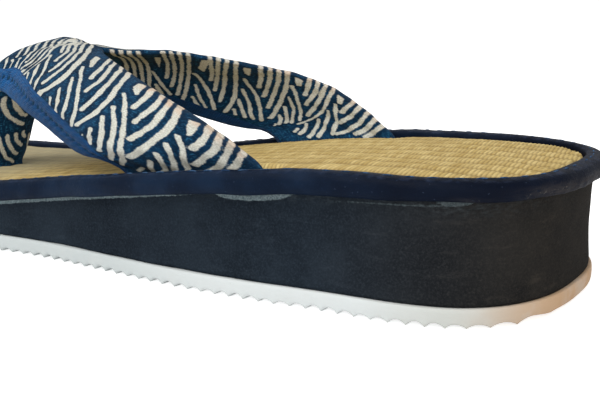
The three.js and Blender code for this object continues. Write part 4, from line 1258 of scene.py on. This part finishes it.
def build_band(side, name, cloth):
    b = Band(0.42)
    nt = len(b.t)
    nv = 84
    v = np.linspace(0, 1, nv)[None, :] + np.zeros((nt, 1))
    s, h, nx, ny = b.centre(v)
    half = b.half(v)
    cols, S, V, F = [], [], [], []
    # outer face, v 0 -> 1
    ro = b.relief(v, 1.0)
    a, c = s + nx * (half + ro), h + ny * (half + ro)
    outer = b.place(a, c)
    ri = b.relief(v, -1.0)
    a2, c2 = s - nx * (half + ri), h - ny * (half + ri)
    inner = b.place(a2, c2)[:, ::-1]
    # rounded front edge and rear fold: half turns about the ends of the centreline
    def turn(vv, sign, steps):
        q = np.full((nt, 1), vv)
        ss, hh, ax, ay = b.centre(q)
        rad = b.half(q)
        r0 = rad + (ro[:, -1:] if vv > 0.5 else ri[:, :1])
        r1 = rad + (ri[:, -1:] if vv > 0.5 else ro[:, :1])
        out = []
        for j in range(1, steps):
            g = math.pi * j / steps
            rr = r0 + (r1 - r0) * j / steps
            # from +normal round to -normal (front), or from -normal round to +normal (rear)
            cn = math.cos(g) * (1 if vv > 0.5 else -1)
            ct = math.sin(g) * (1 if vv > 0.5 else -1)
            # tangent is (ny, -nx)
            px = ss + rr * (ax * cn + ay * ct)
            py = hh + rr * (ay * cn - ax * ct)
            out.append(b.place(px, py))
        return np.concatenate(out, 1)
    steps = 7
    front = turn(1.0, 1, steps)
    rear = turn(0.0, -1, steps)
    ring = np.concatenate([outer, front, inner, rear], 1)
    if side > 0:
        vv = np.concatenate([v, np.ones((nt, steps - 1)), v[:, ::-1], np.zeros((nt, steps - 1))], 1)
        ring[..., 2] += 1.0 * (1 - vv) * (step(5, 25, b.s) * (1 - step(60, 80, b.s)))[:, None]
    ring = seam_clamp(ring)
    width = b.W[:, None]
    s_row = b.s[:, None] + 0 * v
    ink_o = print_outer(s_row + 1.6, v * 40, width) + 0.22 * step(78, 92, s_row) * (1 - step(2.0, 5.0, v * width))
    ink_i = print_inner(s_row, v * 40, width)[:, ::-1]
    fold = np.arange(1, steps)[None, :] / steps + np.zeros((nt, 1))       # from the inner face round to the outer
    f_out = print_outer(b.s[:, None] + 1.6 + 0 * fold, -(1 - fold) * 2.4, width) + 0.3 * step(78, 90, b.s)[:, None]
    f_in = print_inner(b.s[:, None] + 0 * fold, -fold * 2.4, width)
    ink_r = np.where(fold > (0.85 if side > 0 else 0.3), f_out, f_in)
    ink_f = np.full((nt, steps - 1), 5.0)
    ink = np.concatenate([ink_o, ink_f, ink_i, ink_r], 1)
    across_mm = v * width
    # browning on the rear fold, strongest just above the slot
    lane = np.exp(-((b.s - 22.0) / 20.0) ** 2)[:, None] + 0.25
    w_o = lane * np.exp(-(across_mm / 1.9) ** 2)
    w_i = (0.35 * lane * np.exp(-(across_mm / 1.2) ** 2))[:, ::-1]
    w_r = lane * (0.6 + 0.4 * fold)
    wear = np.concatenate([w_o, np.zeros((nt, steps - 1)), w_i, w_r], 1)
    u_mm = s_row
    uv_v = np.concatenate([across_mm, width + np.arange(1, steps)[None, :] * 0.45 + np.zeros((nt, 1)),
                           (width + 3.2 + (width - across_mm[:, ::-1])), (2 * width + 3.2) + np.arange(1, steps)[None, :] * 0.45], 1)
    uv_u = np.repeat(b.s[:, None], ring.shape[1], 1)
    pts = ring.reshape(-1, 3)
    if side > 0:
        pts = pts * [-1, 1, 1]
    n = ring.shape[1]
    faces = [list(f) for f in tube_faces(nt, n)]
    # end caps as strips across the section
    for k0, flip in ((0, True), ((nt - 1) * n, False)):
        o_idx = [k0 + i for i in range(nv)]
        i_idx = [k0 + nv + steps - 1 + (nv - 1 - i) for i in range(nv)]
        for i in range(nv - 1):
            faces.append([o_idx[i], o_idx[i + 1], i_idx[i + 1], i_idx[i]])
        faces.append([o_idx[-1]] + [k0 + nv + j for j in range(steps - 1)] + [i_idx[-1]])
        faces.append([i_idx[0]] + [k0 + 2 * nv + steps - 1 + j for j in range(steps - 1)] + [o_idx[0]])
    uv = np.stack([uv_u.ravel() / 100, uv_v.ravel() / 100], -1)
    piece = make(name, pts, faces, cloth, {"ink": ink.ravel(), "wear": np.clip(wear, 0, 1).ravel()}, uv)
    outwards(piece)
    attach(piece, "root")
    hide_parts("strap_upper")
    return b


def build_tape(side, name, material):
    """The tape that closes the front edge: a thin strip folded round it, sewn through in one row."""
    b = Band(0.42, 0.0, T_END)
    nt = len(b.t)
    W = b.W[:, None]
    nu = 34
    # g runs across the strip: outer face inwards, round the edge, inner face inwards
    out_w, in_w = TAPE, TAPE_IN
    go = np.linspace(1, 0, nu)[None, :] + np.zeros((nt, 1))
    d_o = go * out_w                                     # distance in from the edge, outer
    v_o = 1 - d_o / W
    narrow = b.narrow[:, None]
    v_o = 1 - d_o * narrow / W
    s, h, nx, ny = b.centre(v_o)
    half = b.half(v_o)
    rel = b.relief(v_o, 1.0)
    sa = b.s[:, None] + 0 * d_o
    ph = 2 * math.pi * sa / TAPE_STITCH
    row = 3.7                                            # the sewn row, in from the edge
    groove = -0.34 * np.exp(-((d_o - row) / 0.75) ** 2)
    near_pit = np.clip(0.5 + 0.5 * np.cos(ph + 0.5 * wobble(sa, 0 * sa, 25, 91)), 0, 1) ** 2.4
    pit = near_pit * np.exp(-((d_o - row) / 0.85) ** 2) * step(0.35, 0.8, narrow)
    puff = 0.28 * np.clip(0.5 - 0.5 * np.cos(ph), 0, 1) * np.exp(-((d_o - 1.8) / 1.3) ** 2) \
        + 0.10 * np.clip(0.5 - 0.5 * np.cos(ph + 0.6), 0, 1) * np.exp(-((d_o - 5.6) / 1.2) ** 2) \
        + 0.05 * np.sin(2 * math.pi * sa / 1.05 + 0.8 * wobble(sa, 0 * sa, 12, 94)) * step(0.4, 1.6, d_o)
    lift = 0.40 + groove - 0.6 * pit + puff + 0.06 * wobble(sa, d_o, 6.0, 92)
    lift = lift * (0.10 + 0.90 * step(0.0, 1.0, out_w - d_o))
    a, c = s + nx * (half + rel + lift), h + ny * (half + rel + lift)
    outer = b.place(a, c)
    ni = 18
    gi = np.linspace(0, 1, ni)[None, :] + np.zeros((nt, 1))
    d_i = gi * in_w
    v_i = 1 - d_i * narrow / W
    s2, h2, nx2, ny2 = b.centre(v_i)
    half2 = b.half(v_i)
    rel2 = b.relief(v_i, -1.0)
    sa2 = b.s[:, None] + 0 * d_i
    lift2 = 0.38 + 0.06 * wobble(sa2, d_i, 6.0, 93) + 0.1 * np.cos(2 * math.pi * sa2 / TAPE_STITCH) * np.exp(-((d_i - 2.0) / 1.2) ** 2)
    lift2 = lift2 * (0.30 + 0.70 * step(0.0, 0.9, in_w - d_i))
    a2, c2 = s2 - nx2 * (half2 + rel2 + lift2), h2 - ny2 * (half2 + rel2 + lift2)
    inner = b.place(a2, c2)
    q = np.ones((nt, 1))
    ss, hh, ax, ay = b.centre(q)
    r0 = b.half(q) + rel[:, -1:] + lift[:, -1:]
    r1 = b.half(q) + rel2[:, :1] + lift2[:, :1]
    turn = []
    steps = 7
    for j in range(1, steps):
        g = math.pi * j / steps
        rr = r0 + (r1 - r0) * j / steps
        turn.append(b.place(ss + rr * (ax * math.cos(g) + ay * math.sin(g)), hh + rr * (ay * math.cos(g) - ax * math.sin(g))))
    turn = np.concatenate(turn, 1)
    # back through the cloth, so the strip is a closed body: a shallow inner path
    back_o = b.place(s + nx * (half + rel - 0.5), h + ny * (half + rel - 0.5))
    back_i = b.place(s2 - nx2 * (half2 + rel2 - 0.5), h2 - ny2 * (half2 + rel2 - 0.5))
    idx_o = np.linspace(nu - 1, 0, 6).astype(int)
    idx_i = np.linspace(ni - 1, 0, 5).astype(int)
    ring = np.concatenate([outer, turn, inner, back_i[:, idx_i], back_o[:, idx_o]], 1)
    ring = seam_clamp(ring)
    n = ring.shape[1]
    pit_all = np.concatenate([pit, np.zeros((nt, n - nu))], 1)
    dist = np.concatenate([d_o, -np.arange(1, steps)[None, :] * 0.6 + 0 * W, -4.2 - d_i, -9 + 0 * back_i[:, idx_i, 0], -9 + 0 * back_o[:, idx_o, 0]], 1)
    uv = np.stack([np.repeat(b.s[:, None], n, 1).ravel() / 100, dist.ravel() / 100], -1)
    pts = ring.reshape(-1, 3)
    if side > 0:
        pts = pts * [-1, 1, 1]
    faces = [list(f) for f in tube_faces(nt, n)]
    faces.append([i for i in range(n)][::-1])
    faces.append([(nt - 1) * n + i for i in range(n)])
    # 'pit' and 'inside' also carry painted shade: in the stitch holes and on the tape's inner face
    piece = make(name, pts, faces, material, {"pit": pit_all.ravel(), "inside": step(-1.5, -4.0, dist).ravel()}, uv)
    outwards(piece)
    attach(piece, "root")
    # the thread that shows between the holes
    col = int(np.argmin(np.abs(d_o[0] - row)))
    line = outer[:, col]
    if side > 0:
        line = line * [-1, 1, 1]
    nrm = b.N * ([-1, 1, 1] if side > 0 else [1, 1, 1])
    starts, ends, normals, rad = [], [], [], []
    first = math.ceil((b.s[0] + 4) / TAPE_STITCH)
    last = math.floor((b.s[-1] - 6) / TAPE_STITCH)
    for k in range(first, last):
        s0, s1 = k * TAPE_STITCH + 0.75, k * TAPE_STITCH + TAPE_STITCH - 0.75
        p = [np.array([np.interp(x, b.s, line[:, c]) for c in range(3)]) for x in (s0, s1)]
        nn = np.array([np.interp((s0 + s1) / 2, b.s, nrm[:, c]) for c in range(3)])
        starts.append(p[0] - nn * 0.03)
        ends.append(p[1] - nn * 0.03)
        normals.append(nn)
        rad.append(0.18)
    st = capsules(name + "_stitches", starts, ends, normals, rad, 0.8, thread_material(name + "_thread", rgb(8, 44, 92), rgb(20, 76, 134)), 0.12)
    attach(st, "root")


# ----------------------------------------------------------------- toe post
def build_post(cloth):
    """A padded sleeve of the same cloth round the toe post, with a rolled lip over the band ends."""
    zk = [(r[0], *r[1:]) for r in POST]
    fy, fw, fd = table(zk, 1), table(zk, 2), table(zk, 3)
    z = np.concatenate([np.arange(10.2, 40.5, 0.42), [40.6, 41.2, 41.7, 42.1, 42.35]])
    nz, na = len(z), 150
    a = np.arange(na) / na * 2 * math.pi
    c, s = np.cos(a), np.sin(a)
    w, d, y0 = fw(z)[:, None], fd(z)[:, None], fy(z)[:, None]
    front = np.clip(s, 0, 1)[None, :]
    lip = 1.3 * np.exp(-((z[:, None] - 25.5) / 4.2) ** 2) * front ** 0.8
    zz = z[:, None] + 0 * c[None, :]
    ang = a[None, :] + 0 * zz
    arc = ang * 7.5
    rel = 0.22 * wobble(arc, zz, 12.0, 101) + 0.16 * np.sin(arc * 2 * math.pi / 5.2 + 0.12 * zz) * step(22, 32, zz)
    pinch = -0.8 * np.exp(-((zz - 14.5) / 1.8) ** 2) * 0.6
    X = (w + rel + pinch) * np.sign(c) * np.abs(c) ** 0.8
    rear = np.clip(-s, 0, 1)[None, :] ** 0.8
    Y = y0 + (d + rel + pinch + lip) * np.sign(s) * np.abs(s) ** 0.8 - rear * table([(9, 0.3), (13, 0.9), (20, 3.2), (26, 4.3), (34, 4.0), (43, 0.5)])(zz)
    ring = np.stack([X, Y, zz], -1)
    # the same arcs, smaller, wound round the sleeve
    per = np.concatenate([[0], np.cumsum(np.linalg.norm(np.diff(ring[nz // 3], axis=0), axis=1))])
    u = per[None, :] + 0 * zz
    S = zz + 0.0
    best = np.full(S.shape, 5.0)
    r = np.random.RandomState(33)
    total = per[-1] + np.linalg.norm(ring[nz // 3][0] - ring[nz // 3][-1])
    # charted round the sleeve: start (round, up) -> end, in mm
    for cx in (-0.5, 10.6, 21.6, 32.4, 43.2, 54.0):
        for cz in (3.0, 15.5, 28.0, 40.5):
            o = (cx, cz + 3.2 * ((int(cx * 7) % 2)))
            for k, (rad, R0) in enumerate(((0.66, 1.8), (0.70, 4.3), (0.72, 6.9), (0.70, 9.4))):
                th = np.linspace(0.15, 1.30, 7)
                line = np.stack([o[0] + 9.0 - R0 * np.cos(th), o[1] - R0 * np.sin(th) * 1.1 + 9.0], -1)
                line += r.normal(0, 0.10, line.shape)
                line_distance(u, S, smooth_line(line, 3), rad, rad, best, (r.uniform(4, 9), 0.0, r.uniform(9, 15), 1.0))
    pts = ring.reshape(-1, 3)
    faces = [list(f) for f in tube_faces(nz, na)]
    faces.append([i for i in range(na)][::-1])
    faces.append([(nz - 1) * na + i for i in range(na)])
    uv = np.stack([u.ravel() / 100, S.ravel() / 100], -1)
    piece = make("toe_post_sleeve", pts, faces, cloth, {"ink": best.ravel(), "wear": np.zeros(best.size)}, uv)
    outwards(piece)
    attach(piece, "root")
    return piece


build_outsole()
build_midsole()
build_insole()
build_binding()
build_binding_stitches()
cloth = cloth_material("printed_cloth")
tape = tape_material()
build_band(-1, "strap_band_near", cloth)
build_band(1, "strap_band_far", cloth)
build_tape(-1, "strap_tape_near", tape)
build_tape(1, "strap_tape_far", tape)
build_post(cloth)
